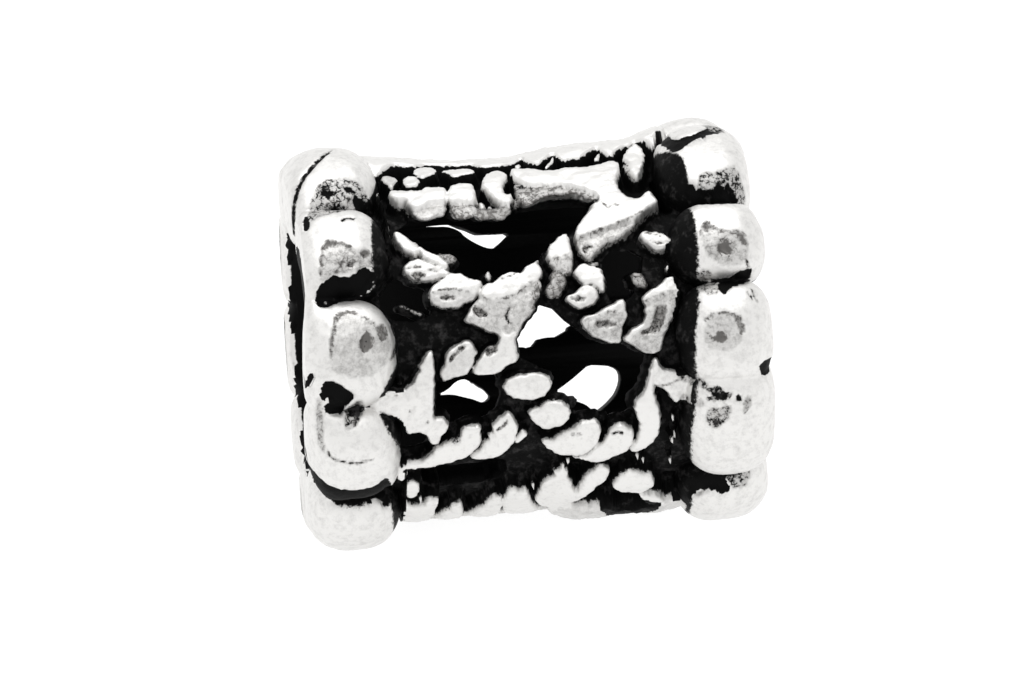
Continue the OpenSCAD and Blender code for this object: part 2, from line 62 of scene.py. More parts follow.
TOPS = [
    # rise above the tube in mm, greyness (0 bright, 1 grey and speckled), outline
    # Spur that ties the ropes to the left ring
    (0.55, 0.1, [(-4.4, 21), (-4.2, 20.9), (-4.03, 19.1), (-3.94, 20.4), (-3.72, 20.9), (-3.63, 20),
        (-3.48, 20), (-3.31, 20.9), (-3.16, 22.7), (-3.11, 24.9), (-2.98, 25.5), (-3.06, 26.8),
        (-2.94, 28.7), (-2.85, 30.6), (-2.77, 31.7), (-2.67, 31.7), (-2.66, 22.7), (-2.71, 17.3),
        (-2.77, 9.2), (-2.55, 9.4), (-2.44, 8.7), (-2.36, 6.5), (-2.42, 4.3), (-2.57, 3), (-2.62, 1),
        (-2.7, -0.2), (-2.82, 0.2), (-2.9, 2), (-2.94, 4.1), (-3.16, 5.1), (-3.4, 4.6), (-3.5, 5.7),
        (-3.57, 8.7), (-3.68, 10.6), (-3.94, 11.9), (-4.2, 13), (-4.4, 14)]),
    (0.45, 0, [(-3.6, 21.6), (-3.5, 21.6), (-3.49, 22.5), (-3.58, 22.5)]),
    # Leaves below the forked boss
    (0.55, 0.25, [(-2.5, 25.2), (-2.47, 21.7), (-2.37, 21.5), (-2.16, 22.8), (-1.94, 22.8), (-1.83, 23.3),
        (-1.63, 27.6), (-1.56, 29.8), (-1.59, 32), (-1.7, 33.9), (-1.85, 34.1), (-1.94, 33.3),
        (-2.11, 32.5), (-2.29, 31.1), (-2.35, 29.2), (-2.37, 26.5), (-2.46, 26)]),
    (0.55, 0.1, [(-1.7, 24.6), (-1.63, 23), (-1.33, 22.5), (-1.11, 22.6), (-0.94, 23.8), (-0.83, 25.2),
        (-0.68, 25.5), (-0.55, 26.3), (-0.51, 28.2), (-0.55, 30.3), (-0.56, 35), (-0.96, 35.5),
        (-0.96, 32.8), (-1.07, 31.7), (-1.2, 32), (-1.35, 30.3), (-1.48, 28.2), (-1.59, 26)]),
    # Forked boss
    (0.55, 0.05, [(-1.79, 40.4), (-1.77, 41.7), (-1.63, 43.3), (-1.61, 45), (-1.42, 46.3), (-1.37, 49.3),
        (-1.2, 52.1), (-0.94, 52.1), (-0.72, 54.6), (-0.35, 55.1), (-0.29, 54.3), (-0.11, 56.5),
        (0.04, 57.3), (0.25, 58.9), (0.14, 57.3), (0.23, 56.5), (0.27, 53.2), (0.16, 51.6), (0.23, 49.4),
        (0.16, 48.2), (0, 43.9), (-0.03, 42.2), (-0.29, 39), (-0.46, 35.7), (-0.56, 33.6), (-0.96, 34),
        (-0.98, 35.7), (-1.16, 36), (-1.37, 37.6), (-1.59, 39)]),
    (0.5, 0.1, [(-2.63, 51), (-2.46, 53.2), (-2.29, 54.6), (-2.11, 55.6), (-2.03, 56.7), (-1.77, 55.6),
        (-1.5, 54), (-1.24, 52.7), (-1.42, 48.2), (-1.5, 47.1), (-1.72, 46.6), (-1.9, 45.1), (-2.11, 44.7),
        (-2.4, 45), (-2.46, 46), (-2.61, 47.1), (-2.63, 49.8)]),
    (0.35, 0.9, [(-3.42, 47.4), (-3.31, 47.4), (-3.07, 45.2), (-2.83, 44.1), (-2.85, 43.3), (-2.98, 43.4),
        (-3.2, 45.5), (-3.37, 46.3)]),
    # Beads at the great window's lower edge
    (0.5, 0.1, [(-0.96, 18.4), (-0.9, 20), (-0.72, 21.5), (-0.42, 21.4), (-0.16, 22.3), (0.07, 21.4),
        (0.23, 20.3), (0.29, 19), (0.27, 16.8), (0.16, 15.2), (0.1, 13.8), (-0.1, 13.3), (-0.29, 13),
        (-0.59, 13.8), (-0.79, 14.9), (-0.92, 16.5)]),
    (0.5, 0.1, [(-0.29, 9.5), (-0.11, 10), (0.04, 11.1), (0.14, 12.2), (0.38, 12.2), (0.55, 11.6),
        (0.7, 10), (0.75, 7), (0.7, 4.9), (0.55, 3), (0.25, 2.2), (0.07, 2.4), (-0.11, 3.8), (-0.27, 6),
        (-0.33, 7.9)]),
    (0.3, 0.1, [(0.8, 8.2), (0.86, 8.2), (0.86, 9.9), (0.8, 9.9)]),
    (0.3, 0.1, [(1.57, 1.9), (1.64, 2), (1.64, 2.9), (1.56, 2.9)]),
    # Links round the great window
    (0.5, 0.2, [(0.78, 45), (0.88, 46.3), (1.05, 46.3), (1.12, 47.4), (1.25, 48.7), (1.42, 49.2),
        (1.57, 48.2), (1.64, 46), (1.63, 44.1), (1.51, 42.8), (1.33, 41.8), (1.16, 41.4), (1.01, 42.2),
        (0.88, 43.6)]),
    (0.55, 0.2, [(1.31, 39), (1.51, 39.3), (1.77, 40.9), (1.99, 42.2), (2.14, 43.6), (2.27, 43.3),
        (2.31, 42), (2.27, 39.5), (2.33, 39), (2.29, 36.8), (2.2, 35.7), (2.16, 33), (2.1, 31.1),
        (2.14, 30.3), (2.03, 29.5), (1.81, 30.1), (1.64, 31.1), (1.42, 32.2), (1.33, 33.6), (1.2, 35.2),
        (1.16, 36.3), (1.14, 37.6)]),
    (0.55, 0.1, [(2.16, 30.3), (2.33, 33.3), (2.6, 34.4), (2.77, 35.5), (2.8, 38.5), (2.8, 41.7),
        (2.73, 43.1), (2.79, 44.4), (3.03, 45.8), (3.25, 47.4), (3.42, 49.3), (3.57, 49.6), (3.64, 47.7),
        (3.7, 45), (3.7, 43.1), (3.62, 41.7), (3.6, 39.3), (3.49, 36.3), (3.33, 33.3), (3.23, 30.9),
        (3.18, 28.7), (3.1, 26.3), (2.94, 25.3), (2.77, 25.5), (2.6, 26.5), (2.47, 27.9), (2.31, 29.5)]),
    # Spur to the right ring, and the last leaf of the lower fan
    (0.5, 0.15, [(2.9, 23.8), (3.01, 23.8), (3.05, 21.7), (3.14, 20), (3.38, 19), (3.68, 18.4),
        (3.99, 16.8), (4.2, 17.3), (4.4, 17), (4.4, 9), (4.2, 8.7), (4.03, 7.9), (3.81, 8.7), (3.6, 8.1),
        (3.38, 8.4), (3.29, 10.3), (3.2, 12.5), (3.07, 14.1), (2.9, 14.6), (2.82, 17), (2.84, 20.6)]),
    (0.55, 0, [(2.81, 20.6), (2.9, 20), (2.88, 14), (2.9, 10.8), (2.97, 9.2), (3.04, 4.9), (3.03, 2),
        (3.02, 0.2), (2.99, -2.5), (2.92, -4.6), (2.79, -6.8), (2.64, -8.4), (2.47, -9.2), (2.33, -9.4),
        (2.25, -9), (2.33, -7.1), (2.4, -5.7), (2.47, -2.5), (2.51, 0.2), (2.51, 2), (2.42, 4.9),
        (2.37, 7.6), (2.42, 10.6), (2.6, 11.9), (2.7, 15.2), (2.77, 17.9)]),
    # Knob, leaves and blocks right of the forked boss
    (0.4, 0.8, [(2.51, 50), (2.53, 51.6), (2.62, 52.4), (2.81, 51.6), (2.9, 48.3), (2.9, 46.7),
        (2.73, 47.2), (2.6, 47.8)]),
    (0.55, 0.1, [(0.99, 67), (1.05, 66.2), (1.07, 62.4), (1.1, 59.7), (1.05, 56.5), (1.01, 53.7),
        (0.88, 52.9), (0.73, 54.3), (0.55, 55.4), (0.49, 57.5), (0.44, 60.2), (0.51, 62.4), (0.68, 64.9),
        (0.86, 66.2)]),
    (0.45, 0.8, [(0.47, 53.2), (0.57, 54.8), (0.73, 53.7), (0.9, 51.3), (0.77, 48.7), (0.68, 46),
        (0.42, 45.2), (0.33, 47.1), (0.31, 48.9), (0.47, 51)]),
    (0.55, 0, [(1.07, 53.2), (1.2, 55.6), (1.38, 55.9), (1.55, 54.8), (1.77, 54), (1.83, 51.6),
        (1.81, 48.3), (1.77, 46), (1.64, 47.8), (1.51, 49.4), (1.33, 49.2), (1.16, 51)]),
    (0.3, 0.6, [(1.57, 57.5), (1.75, 57.5), (1.77, 56.5), (1.64, 55.4), (1.44, 56.2)]),
    (0.5, 0.2, [(2.88, 65.4), (2.99, 66.2), (3.2, 65.7), (3.47, 64.6), (3.64, 63), (3.68, 61.3),
        (3.55, 59.4), (3.33, 58.9), (3.14, 59.4), (3.03, 61.1), (2.88, 63)]),
    # Smooth band along the top that ends in the big wedge, then the grey faces under both
    (0.6, 0, [(-0.13, 99.8), (0.38, 98.7), (0.82, 96.3), (1.14, 97.1), (1.65, 96.7), (2.19, 98.5),
        (2.51, 100.1), (2.68, 98.9), (2.66, 94), (2.49, 88.4), (2.53, 82.3), (2.7, 79.3), (2.95, 78.5),
        (3.16, 80.5), (3.34, 81.1), (3.41, 78.3), (3.44, 75.7), (3.25, 75.1), (3.06, 73.2), (2.92, 70.7),
        (2.39, 68.6), (1.86, 66.6), (1.22, 64), (1.23, 67.7), (1.38, 70.5), (1.59, 73.8), (1.76, 77),
        (1.97, 80), (1.93, 81.7), (1.77, 83.3), (1.49, 86.2), (1.18, 88.3), (0.92, 88.7), (0.54, 89.3),
        (0.28, 89.2), (-0.04, 92.7), (-0.15, 96)]),
    (0.45, 0.45, [(1.22, 65), (1.86, 67.6), (2.39, 69.6), (2.95, 71.7), (2.68, 67.5), (2.34, 64.2),
        (2.03, 63.5), (1.88, 61.2), (1.68, 59.6), (1.46, 57.1), (1.28, 60.1)]),
    (0.45, 0.65, [(-0.13, 93), (0.28, 90), (0.92, 89.4), (1.49, 87), (1.93, 82.5), (2, 78.5), (1.8, 80.5),
        (1.59, 82.7), (1.4, 84.6), (1.15, 85), (0.89, 85), (0.63, 84.3), (0.37, 82.2), (0.2, 80.6),
        (0.05, 80.8), (-0.11, 86)]),
    # Links of the upper rope: crowns, then the grey faces under them
    (0.6, 0, [(-3.35, 91.3), (-3.09, 91.5), (-2.74, 89.7), (-2.56, 90), (-2.39, 91.5), (-2.11, 91.6),
        (-1.86, 90.6), (-1.88, 86.2), (-1.97, 83.8), (-2.28, 84.3), (-2.61, 81.4), (-2.83, 82.2),
        (-2.92, 84.2), (-2.88, 86.2), (-3.13, 86.1), (-3.3, 87.4)]),
    (0.45, 0.4, [(-2.92, 84.5), (-2.61, 82.8), (-2.28, 85), (-1.95, 84.8), (-1.9, 83.7), (-1.98, 80.1),
        (-2.05, 78.8), (-2.28, 77.8), (-2.6, 77), (-2.69, 78.4), (-2.82, 81.2)]),
    (0.6, 0, [(-1.81, 90.5), (-1.62, 91.9), (-1.33, 92.6), (-1.16, 91.7), (-1.14, 87.7), (-1.16, 83.2),
        (-1.32, 82), (-1.51, 83.7), (-1.69, 83.9), (-1.83, 82.7), (-1.88, 85.7)]),
    (0.45, 0.65, [(-1.83, 84.2), (-1.48, 85.2), (-1.32, 83), (-1.17, 82.8), (-1.21, 77.3), (-1.37, 76.7),
        (-1.58, 76.5), (-1.75, 77.6), (-1.8, 79.9)]),
    (0.4, 0.85, [(-1.22, 82), (-0.97, 81), (-0.77, 80.8), (-0.56, 81.4), (-0.26, 80.5), (-0.34, 77.9),
        (-0.48, 76), (-0.67, 75.4), (-0.86, 76.5), (-1.08, 75.9), (-1.22, 76.9)]),
    (0.55, 0, [(-0.98, 92), (-0.76, 98.2), (-0.51, 100.7), (-0.27, 98.6), (-0.22, 95.7), (-0.38, 92.1),
        (-0.43, 87.7), (-0.34, 85.4), (-0.23, 86.3), (-0.22, 82.8), (-0.29, 80.6), (-0.44, 80.8),
        (-0.6, 82.4), (-0.73, 85), (-0.83, 88.3)]),
    (0.4, 0.2, [(-1.13, 84.4), (-1.03, 84.9), (-0.92, 83), (-0.96, 81.6), (-1.09, 82.2)]),
    (0.4, 0.1, [(-0.91, 81.2), (-0.83, 82.6), (-0.75, 81.2), (-0.83, 80.4)]),
    (0.35, 0.2, [(-0.16, 84), (-0.1, 84), (-0.1, 85), (-0.16, 85)]),
    # Beads and chips in the dark channel behind the upper rope
    (0.5, 0, [(-2.64, 105.5), (-2.47, 108.5), (-2.25, 110), (-2.05, 109.5), (-1.96, 106.6), (-2.07, 102.9),
        (-2.26, 101.7), (-2.41, 99.6), (-2.51, 102.3)]),
    (0.5, 0, [(-1.95, 104.5), (-1.65, 106.7), (-1.4, 108.2), (-1.11, 106.1), (-0.96, 101.8), (-1.16, 100.7),
        (-1.36, 101.1), (-1.56, 98.4), (-1.69, 101.1), (-1.75, 103.9)]),
    (0.52, 0.3, [(-3.47, 102.1), (-3.36, 103.6), (-3.11, 102.1), (-3.02, 100.2), (-3.12, 97.4),
        (-3.22, 94.2), (-3.31, 96.3), (-3.41, 99.5)]),
    (0.5, 0.1, [(-2.95, 99.2), (-2.8, 102.2), (-2.59, 102.5), (-2.46, 98.9), (-2.54, 95.5), (-2.73, 94.6),
        (-2.9, 95.6)]),
    (0.5, 0.1, [(0.02, 104.8), (0.18, 106.5), (0.21, 105.5), (0.12, 101.7), (0.03, 102.8)]),
    (0.5, 0.1, [(0.77, 101.8), (0.91, 105), (1.1, 110), (1.09, 106.5), (0.89, 101.5), (0.8, 100.1)]),
    (0.52, 0.1, [(2.07, 104.8), (2.27, 107.5), (2.25, 104.3), (2.1, 102.8)]),
    (0.6, 0, [(2.77, 102), (2.95, 106.3), (3.18, 108), (3.35, 106), (3.39, 102.1), (3.29, 97.6), (3.22, 93),
        (3.1, 89.7), (2.99, 89.3), (2.91, 91.1), (2.91, 95.5), (2.89, 99.2)]),
    (0.5, 0.5, [(2.72, 99.6), (2.9, 99), (2.95, 95), (2.93, 91.7), (2.82, 92.5), (2.78, 95.8)]),
    (0.52, 0.3, [(3.38, 112.9), (3.5, 109.3), (3.67, 108.6), (3.77, 110.9), (3.75, 115), (3.51, 115)]),
    # Smooth band along the skyline, with a torn front edge
    (0.55, 0, [(-4.4, 104), (-4.05, 104.5), (-3.77, 105), (-3.6, 103), (-3.5, 104), (-3.25, 108),
        (-3.05, 110), (-2.85, 109), (-2.56, 108.5), (-2.35, 111), (-2.21, 112), (-1.85, 112), (-1.46, 113),
        (-1.2, 112.5), (-1, 111.5), (-0.85, 107.5), (-0.55, 107), (-0.34, 107.5), (-0.11, 108.5),
        (0.07, 110), (0.2, 112), (0.28, 114), (0.33, 108), (0.48, 105), (0.68, 104), (0.87, 108),
        (1.07, 110.5), (1.17, 107), (1.29, 104.6), (1.49, 106), (1.74, 105.2), (1.99, 108.9), (2.27, 112),
        (2.3, 108), (2.46, 105.5), (2.57, 104.8), (2.7, 107.6), (2.89, 110), (3.11, 110.5), (3.2, 113),
        (3.3, 112), (3.43, 110), (3.67, 110), (3.9, 113), (4.1, 118), (4.3, 138), (0, 139), (-4.4, 138)]),
    # Diagonal rope from the left ring to the forked boss
    (0.5, 0.05, [(-3.33, 73.5), (-3.22, 73), (-3.03, 70.5), (-2.87, 68.1), (-2.79, 65.7), (-2.82, 64),
        (-2.94, 64), (-3.16, 65.4), (-3.27, 67.8), (-3.37, 70.5)]),
    (0.5, 0.1, [(-2.94, 70), (-2.77, 67.6), (-2.61, 64.9), (-2.33, 63), (-2.11, 60.8), (-2.07, 59.2),
        (-2.09, 57.5), (-2.33, 59.4), (-2.59, 61.3), (-2.77, 63.5), (-2.77, 65.7)]),
    (0.5, 0.2, [(-3.22, 59.7), (-3.13, 61.1), (-2.94, 62.1), (-2.77, 62.1), (-2.55, 60.2), (-2.29, 58.6),
        (-2.07, 57.3), (-2.03, 55.9), (-2.24, 55.6), (-2.5, 54.6), (-2.77, 54.6), (-2.98, 55.1),
        (-3.13, 56.7), (-3.2, 58.1)]),
    (0.35, 0.8, [(-2.29, 64.6), (-2.16, 64), (-2.03, 64.1), (-1.9, 63.5), (-1.82, 61.9), (-1.96, 60.2),
        (-2.07, 60.5), (-2.18, 61.9), (-2.27, 63)]),
    (0.4, 0.2, [(-1.18, 54.8), (-1.12, 56.4), (-1.05, 56.4), (-1.01, 54.8), (-1.05, 53.2), (-1.13, 53.2)]),
    # Lower rope
    (0.55, 0.05, [(-3.8, -8.7), (-3.765, -7.6), (-3.635, -6.8), (-3.4, -6.4), (-3.16, -6.7), (-2.96, -5.8),
        (-2.9, -4.6), (-2.77, -3), (-2.74, -1.5), (-2.61, -1.3), (-2.53, -0.3), (-2.37, 0.5), (-2.22, 1.2),
        (-2.07, 2.1), (-2.06, 3.8), (-1.94, 5.1), (-1.77, 5.8), (-1.61, 5.7), (-1.54, 4.6), (-1.59, 2.7),
        (-1.54, 0.8), (-1.57, -0.8), (-1.68, -3), (-1.83, -4.9), (-1.96, -6.1), (-2.16, -6.9),
        (-2.33, -7.6), (-2.55, -8.2), (-2.81, -8.9), (-3.03, -9), (-3.18, -9.1), (-3.29, -9.6), (-3.37, -9),
        (-3.5, -8.8), (-3.53, -9.1), (-3.45, -10.5), (-3.48, -13.3), (-3.55, -14.4), (-3.68, -14.5),
        (-3.73, -13.3), (-3.74, -11.4), (-3.79, -10.1)]),
    (0.55, 0.05, [(-1.85, -6.9), (-1.81, -6), (-1.68, -4.6), (-1.59, -3.3), (-1.53, -1.7), (-1.44, -0.3),
        (-1.37, 0.2), (-1.35, 1.8), (-1.29, 1.8), (-1.22, 0.8), (-1.24, 2.4), (-1.27, 4.6), (-1.2, 6.5),
        (-1.07, 7.6), (-0.92, 8.9), (-0.79, 9.3), (-0.74, 7.8), (-0.66, 6.2), (-0.61, 4), (-0.6, 2.7),
        (-0.66, 0.8), (-0.72, -1.4), (-0.81, -3), (-0.92, -4.6), (-1.03, -6), (-1.2, -7.1), (-1.42, -7.5),
        (-1.64, -7.2)]),
    (0.5, 0, [(-0.57, 1.9), (-0.5, 3), (-0.44, 2.1), (-0.34, 0.5), (-0.4, -0.3), (-0.53, -1.7),
        (-0.66, -2.7), (-0.72, -3)]),
    (0.5, 0, [(-3.53, -20.7), (-3.5, -17.5), (-3.42, -16.1), (-3.3, -16), (-3.17, -17.5), (-3.13, -20.5),
        (-3.16, -23.4), (-3.26, -25.2), (-3.4, -25.3), (-3.5, -23.5)]),
    (0.55, 0.05, [(0, -2.7), (0.03, -2), (0.25, -2.2), (0.33, -1.1), (0.47, 0), (0.62, 0.8), (0.77, 1.9),
        (0.94, 3), (1.03, 3.8), (1.2, 3.9), (1.36, 4.4), (1.44, 3.5), (1.5, 1.9), (1.51, -0.3),
        (1.47, -2.5), (1.42, -4.4), (1.33, -5.7), (1.27, -7.1), (1.2, -8.4), (1.05, -9.4), (0.86, -9.1),
        (0.64, -9), (0.47, -8.4), (0.31, -7.1), (0.16, -5.4), (0.05, -4.1)]),
    (0.55, 0.05, [(0.77, -9.6), (1.07, -9.7), (1.25, -8.7), (1.31, -6.8), (1.42, -5.7), (1.53, -5.2),
        (1.62, -3.8), (1.68, -2.2), (1.7, -0.8), (1.77, 0.5), (1.88, 1.6), (2.03, 2.1), (2.14, 1.1),
        (2.25, 0.1), (2.33, 0), (2.34, -1.9), (2.35, -4.1), (2.29, -6.3), (2.25, -7.9), (2.2, -8.7),
        (2.05, -9.5), (1.9, -10.5), (1.77, -11.4), (1.62, -12.5), (1.42, -12.9), (1.2, -12.2),
        (1.03, -11.1), (0.88, -10.3)]),
    # Rim of the underside
    (0.5, 0.3, [(-3.4, -50), (-2.6, -51), (-1.9, -52), (-1.2, -51), (-0.4, -52), (0.3, -50), (0.6, -60),
        (0.6, -77), (-3.4, -77)]),
    (0.6, 0.3, [(0.4, -38), (0.7, -37), (1.2, -37.5), (1.6, -38.5), (1.9, -41), (2.1, -47), (2.5, -46),
        (2.9, -43), (3.2, -39), (3.6, -38), (4, -37), (4.2, -50), (4.2, -77), (0.4, -77)]),
    # Leaves of the underside
    (0.55, 0.05, [(-3.57, -34.4), (-3.53, -31.7), (-3.46, -28), (-3.42, -30.4), (-3.2, -32.5),
        (-3.09, -31.5), (-2.99, -30.9), (-2.98, -28.8), (-2.9, -26.9), (-2.81, -27.1), (-2.72, -29.8),
        (-2.68, -27.9), (-2.63, -29), (-2.66, -31.7), (-2.7, -36.1), (-2.7, -41.5), (-2.77, -46),
        (-2.8, -52), (-2.9, -57), (-3.4, -58), (-3.6, -50), (-3.55, -42)]),
    (0.55, 0.05, [(-2.29, -33.9), (-2.2, -34.4), (-2.09, -32), (-2.03, -33.4), (-2, -36), (-1.98, -41.5),
        (-1.94, -50), (-2, -57), (-2.5, -57), (-2.63, -50), (-2.59, -46.9), (-2.53, -44.2), (-2.48, -42),
        (-2.4, -40.1), (-2.29, -39)]),
    (0.55, 0.05, [(-1.33, -32.3), (-1.29, -30.4), (-1.22, -28.5), (-1.16, -28.8), (-1.11, -30.7),
        (-1.03, -29.8), (-0.98, -32.8), (-0.97, -37.2), (-0.99, -41.5), (-1, -50), (-1.05, -57),
        (-1.6, -58), (-1.79, -50), (-1.72, -45.3), (-1.63, -42.6), (-1.55, -39.9), (-1.42, -37.2),
        (-1.37, -35)]),
    (0.55, 0.05, [(-0.92, -30.7), (-0.87, -27.9), (-0.83, -25.2), (-0.72, -24.4), (-0.63, -25.2),
        (-0.53, -27.4), (-0.42, -25.5), (-0.37, -26), (-0.33, -28.5), (-0.27, -31.2), (-0.22, -35),
        (-0.18, -38.8), (-0.07, -42.6), (0.04, -46.9), (0.08, -52), (-0.1, -58), (-0.6, -58), (-0.79, -50),
        (-0.83, -47.5), (-0.9, -43.1), (-0.93, -38.8), (-0.95, -35)]),
    (0.55, 0.05, [(0.01, -23.6), (0.07, -21.4), (0.16, -20.1), (0.33, -19.5), (0.36, -18.2), (0.31, -16.3),
        (0.49, -16), (0.53, -13.3), (0.57, -13.8), (0.57, -16.3), (0.66, -16), (0.67, -20.4), (0.77, -22),
        (0.81, -25.2), (0.88, -26.6), (0.97, -25.8), (0.99, -23.6), (1.1, -20.9), (1.25, -18.7),
        (1.36, -17.6), (1.4, -16.3), (1.53, -15.2), (1.64, -16), (1.75, -17.6), (1.75, -19.5),
        (1.68, -21.4), (1.6, -22.5), (1.47, -23.3), (1.33, -25.2), (1.16, -27.9), (0.99, -30.4),
        (0.88, -32.3), (0.85, -35), (0.86, -37.7), (0.92, -42), (0.99, -46.9), (1.04, -52), (0.8, -57),
        (0.45, -56), (0.31, -50), (0.27, -44.2), (0.2, -41.5), (0.05, -39.9), (-0.06, -37.2), (-0.1, -33.4),
        (-0.08, -31.2), (-0.01, -26.9)]),
    (0.5, 0.05, [(1.86, -24.7), (1.88, -23.1), (2.03, -22), (2.06, -19.5), (2.1, -21), (2.27, -18.7),
        (2.38, -20.1), (2.53, -20.4), (2.64, -21.4), (2.81, -21.4), (2.88, -22.5), (2.92, -24.1),
        (2.9, -26.3), (2.79, -27.9), (2.7, -29.6), (2.6, -30.5), (2.47, -30.4), (2.25, -29.8),
        (2.03, -28.2), (1.9, -26.9), (1.84, -25.5)]),
    (0.55, 0, [(2.55, -30.9), (2.68, -31.5), (2.94, -33.1), (3.18, -35.3), (3.23, -37.7), (3.27, -42),
        (3.33, -46.9), (3.38, -53), (3.2, -56), (3.03, -50), (2.97, -45.3), (2.86, -40.9), (2.73, -36.6),
        (2.6, -32.8)]),
]

# Stray grains of bright silver on the black ground: mm along, degrees round, radius in mm
GRAINS = [(2.08, 14.5, 0.08), (-0.46, 58.7, 0.06), (-3.5, 81, 0.08), (-3.57, 86, 0.09),
          (-3.62, 89.5, 0.08), (-3.52, 77.5, 0.06), (-3.5, 74.5, 0.05), (-3.57, 66.3, 0.05),
          (-3.6, 58.3, 0.05), (3.3, -15.5, 0.06), (3.36, 2.4, 0.05), (3.4, -4, 0.06),
          (3.33, -6.3, 0.05), (3.55, 6.5, 0.06), (3.7, 7.5, 0.05), (0.67, -12, 0.05),
          (2.45, -11.9, 0.05), (2.6, -14, 0.05), (3.45, 52.5, 0.05), (-3.45, 17.5, 0.05),
          (0.4, -26, 0.06), (-0.2, -24, 0.05), (-3.1, -27, 0.05)]

# Height of the tops on the underside and at the skyline: mm along the bead, times their own
UNDERSIDE = [(-3.5, 1), (0.3, 1), (1, 1.36), (3.2, 1.36), (3.8, 1.15)]
SKYLINE = [(-4.1, 1.5), (-3.8, 1.42), (-2.8, 1.18), (-1.5, 0.87), (0, 0.85), (1, 1.16), (2, 1.25),
           (3, 1.27), (3.8, 1.75)]

# Plain ropes of the back: the places on their route
BACK_ROPES = [
    [(-4, 141), (-2.4, 141), (-0.8, 147), (0.6, 153), (2, 152), (4, 146)],
    [(-4, 193), (-3, 183), (-2.2, 182), (-1.3, 188), (-0.52, 196)],
    [(-0.32, 196), (0.32, 190), (1, 182), (2, 173), (4, 176)],
    [(-4, 220), (-2, 219), (-0.4, 228), (0.8, 226), (2.4, 218), (4, 204)],
    [(-4, 240), (-2.4, 249), (-1.2, 253), (0, 249), (0.24, 236)],
    [(-4, 262), (-2, 261), (0.4, 264), (1.92, 262), (3.2, 250), (4, 226)],
    [(-4, 280), (-2.4, 293), (-0.4, 295), (0.48, 282), (0.8, 268)],
    [(0.6, 296), (2, 297), (3.2, 286), (4, 270)],
]


def smooth(start, end, v):
    """0 before start and 1 after end, with t*t*(3 - 2t) between them."""
    t = np.clip((v - start) / (end - start), 0, 1)
    return t * t * (3 - 2 * t)


def waves(x, y, z, size, seed):
    """Smooth noise from about -1 to 1: the mean of 14 plane waves of about that size in mm."""
    rng = np.random.default_rng(seed)
    total = np.zeros(np.shape(x))
    for _ in range(14):
        way = rng.normal(size=3)
        way *= 2 * np.pi / size / np.linalg.norm(way) * rng.uniform(0.6, 1.5)
        total += np.sin(way[0] * x + way[1] * y + way[2] * z + rng.uniform(0, 2 * np.pi))
    return total / 14 * 2.6


def cut_corners(points, turns):
    """Closed outline with each corner replaced by the points at its quarters, so many times."""
    p = np.array(points, float)
    for _ in range(turns):
        q = np.roll(p, -1, axis=0)
        p = np.stack([0.75 * p + 0.25 * q, 0.25 * p + 0.75 * q], 1).reshape(-1, 2)
    return p


def depth_inside(outline, x, y, reach=0.35):
    """How far in mm each (x, y) lies inside a closed outline; negative outside, at least -reach.

    The distance is the least over the edges a..b of |p - a - t(b - a)| with t clipped to 0..1.
    """
    depth = np.full(x.shape, -reach)
    near = ((x > outline[:, 0].min() - reach) & (x < outline[:, 0].max() + reach)
            & (y > outline[:, 1].min() - reach) & (y < outline[:, 1].max() + reach))
    if not near.any():
        return depth
    px, py = x[near][:, None], y[near][:, None]
    ax, ay = outline[:, 0], outline[:, 1]
    bx, by = np.roll(ax, -1), np.roll(ay, -1)
    ex, ey = bx - ax, by - ay
    t = np.clip(((px - ax) * ex + (py - ay) * ey) / (ex * ex + ey * ey + 1e-12), 0, 1)
    away = np.sqrt(((px - ax - t * ex) ** 2 + (py - ay - t * ey) ** 2).min(axis=1))
    crossed = ((ay > py) != (by > py)) & (px < ex * (py - ay) / (ey + 1e-12 * (ey == 0)) + ax)
    inside = crossed.sum(axis=1) % 2 == 1
    depth[near] = np.maximum(np.where(inside, away, -away), -reach)
    return depth


def curve(points, u):
    """Catmull-Rom curve through the points, at u from 0 to 1."""
    p = np.array(points, float)
    s = np.clip(u, 0, 1) * (len(p) - 1)
    i = np.minimum(s.astype(int), len(p) - 2)
    f = (s - i)[:, None]
    a, b, c, d = (p[np.clip(i + k, 0, len(p) - 1)] for k in (-1, 0, 1, 2))
    return 0.5 * (2 * b + (c - a) * f + (2 * a - 5 * b + 4 * c - d) * f ** 2
                  + (3 * b - a - 3 * c + d) * f ** 3)


def link_outline(points):
    """Outline, in mm along and mm round, of a link through points (mm, degrees, half-breadth).

    Its half-breadth at u is the points' own * sqrt(1 - |2u - 1|^4), which rounds square tips.
    """
    u = np.linspace(0, 1, 13)
    c = curve(points, u)
    c[:, 1] *= MM_ROUND
    way = np.gradient(c[:, :2], axis=0)
    way /= np.linalg.norm(way, axis=1)[:, None]
    side = (c[:, 2] * np.sqrt(1 - np.abs(2 * u - 1) ** 4))[:, None] * way[:, ::-1] * [-1, 1]
    return np.concatenate([c[:, :2] + side, (c[:, :2] - side)[-2:0:-1]])


def rope_strokes(route, shift, pitch=1.1, lean=0.38):
    """Leaning strokes along a plain rope, at arc length (k + shift) * pitch, k = 0, 1, ...

    Each runs from lean mm on one side of the route to lean mm on the other. At shift 0.5 they
    are the centre lines of the links, and at shift 0 the grooves between the links.
    """
    p = curve(np.array(route, float), np.linspace(0, 1, 60)) * [1, MM_ROUND]
    count = int(round(np.linalg.norm(np.diff(p, axis=0), axis=1).sum() / pitch))
    strokes = []
    for k in range(0 if shift else 1, count):
        mid, reach = (k + shift) / count, 0.7 / count
        ends = curve(route, np.array([mid - reach, mid, mid + reach]))
        way = (ends[2] - ends[0]) * [1, MM_ROUND]
        way /= np.linalg.norm(way)
        strokes.append(ends + np.outer([-1, 0, 1], [-way[1] * lean, way[0] * lean / MM_ROUND]))
    return strokes


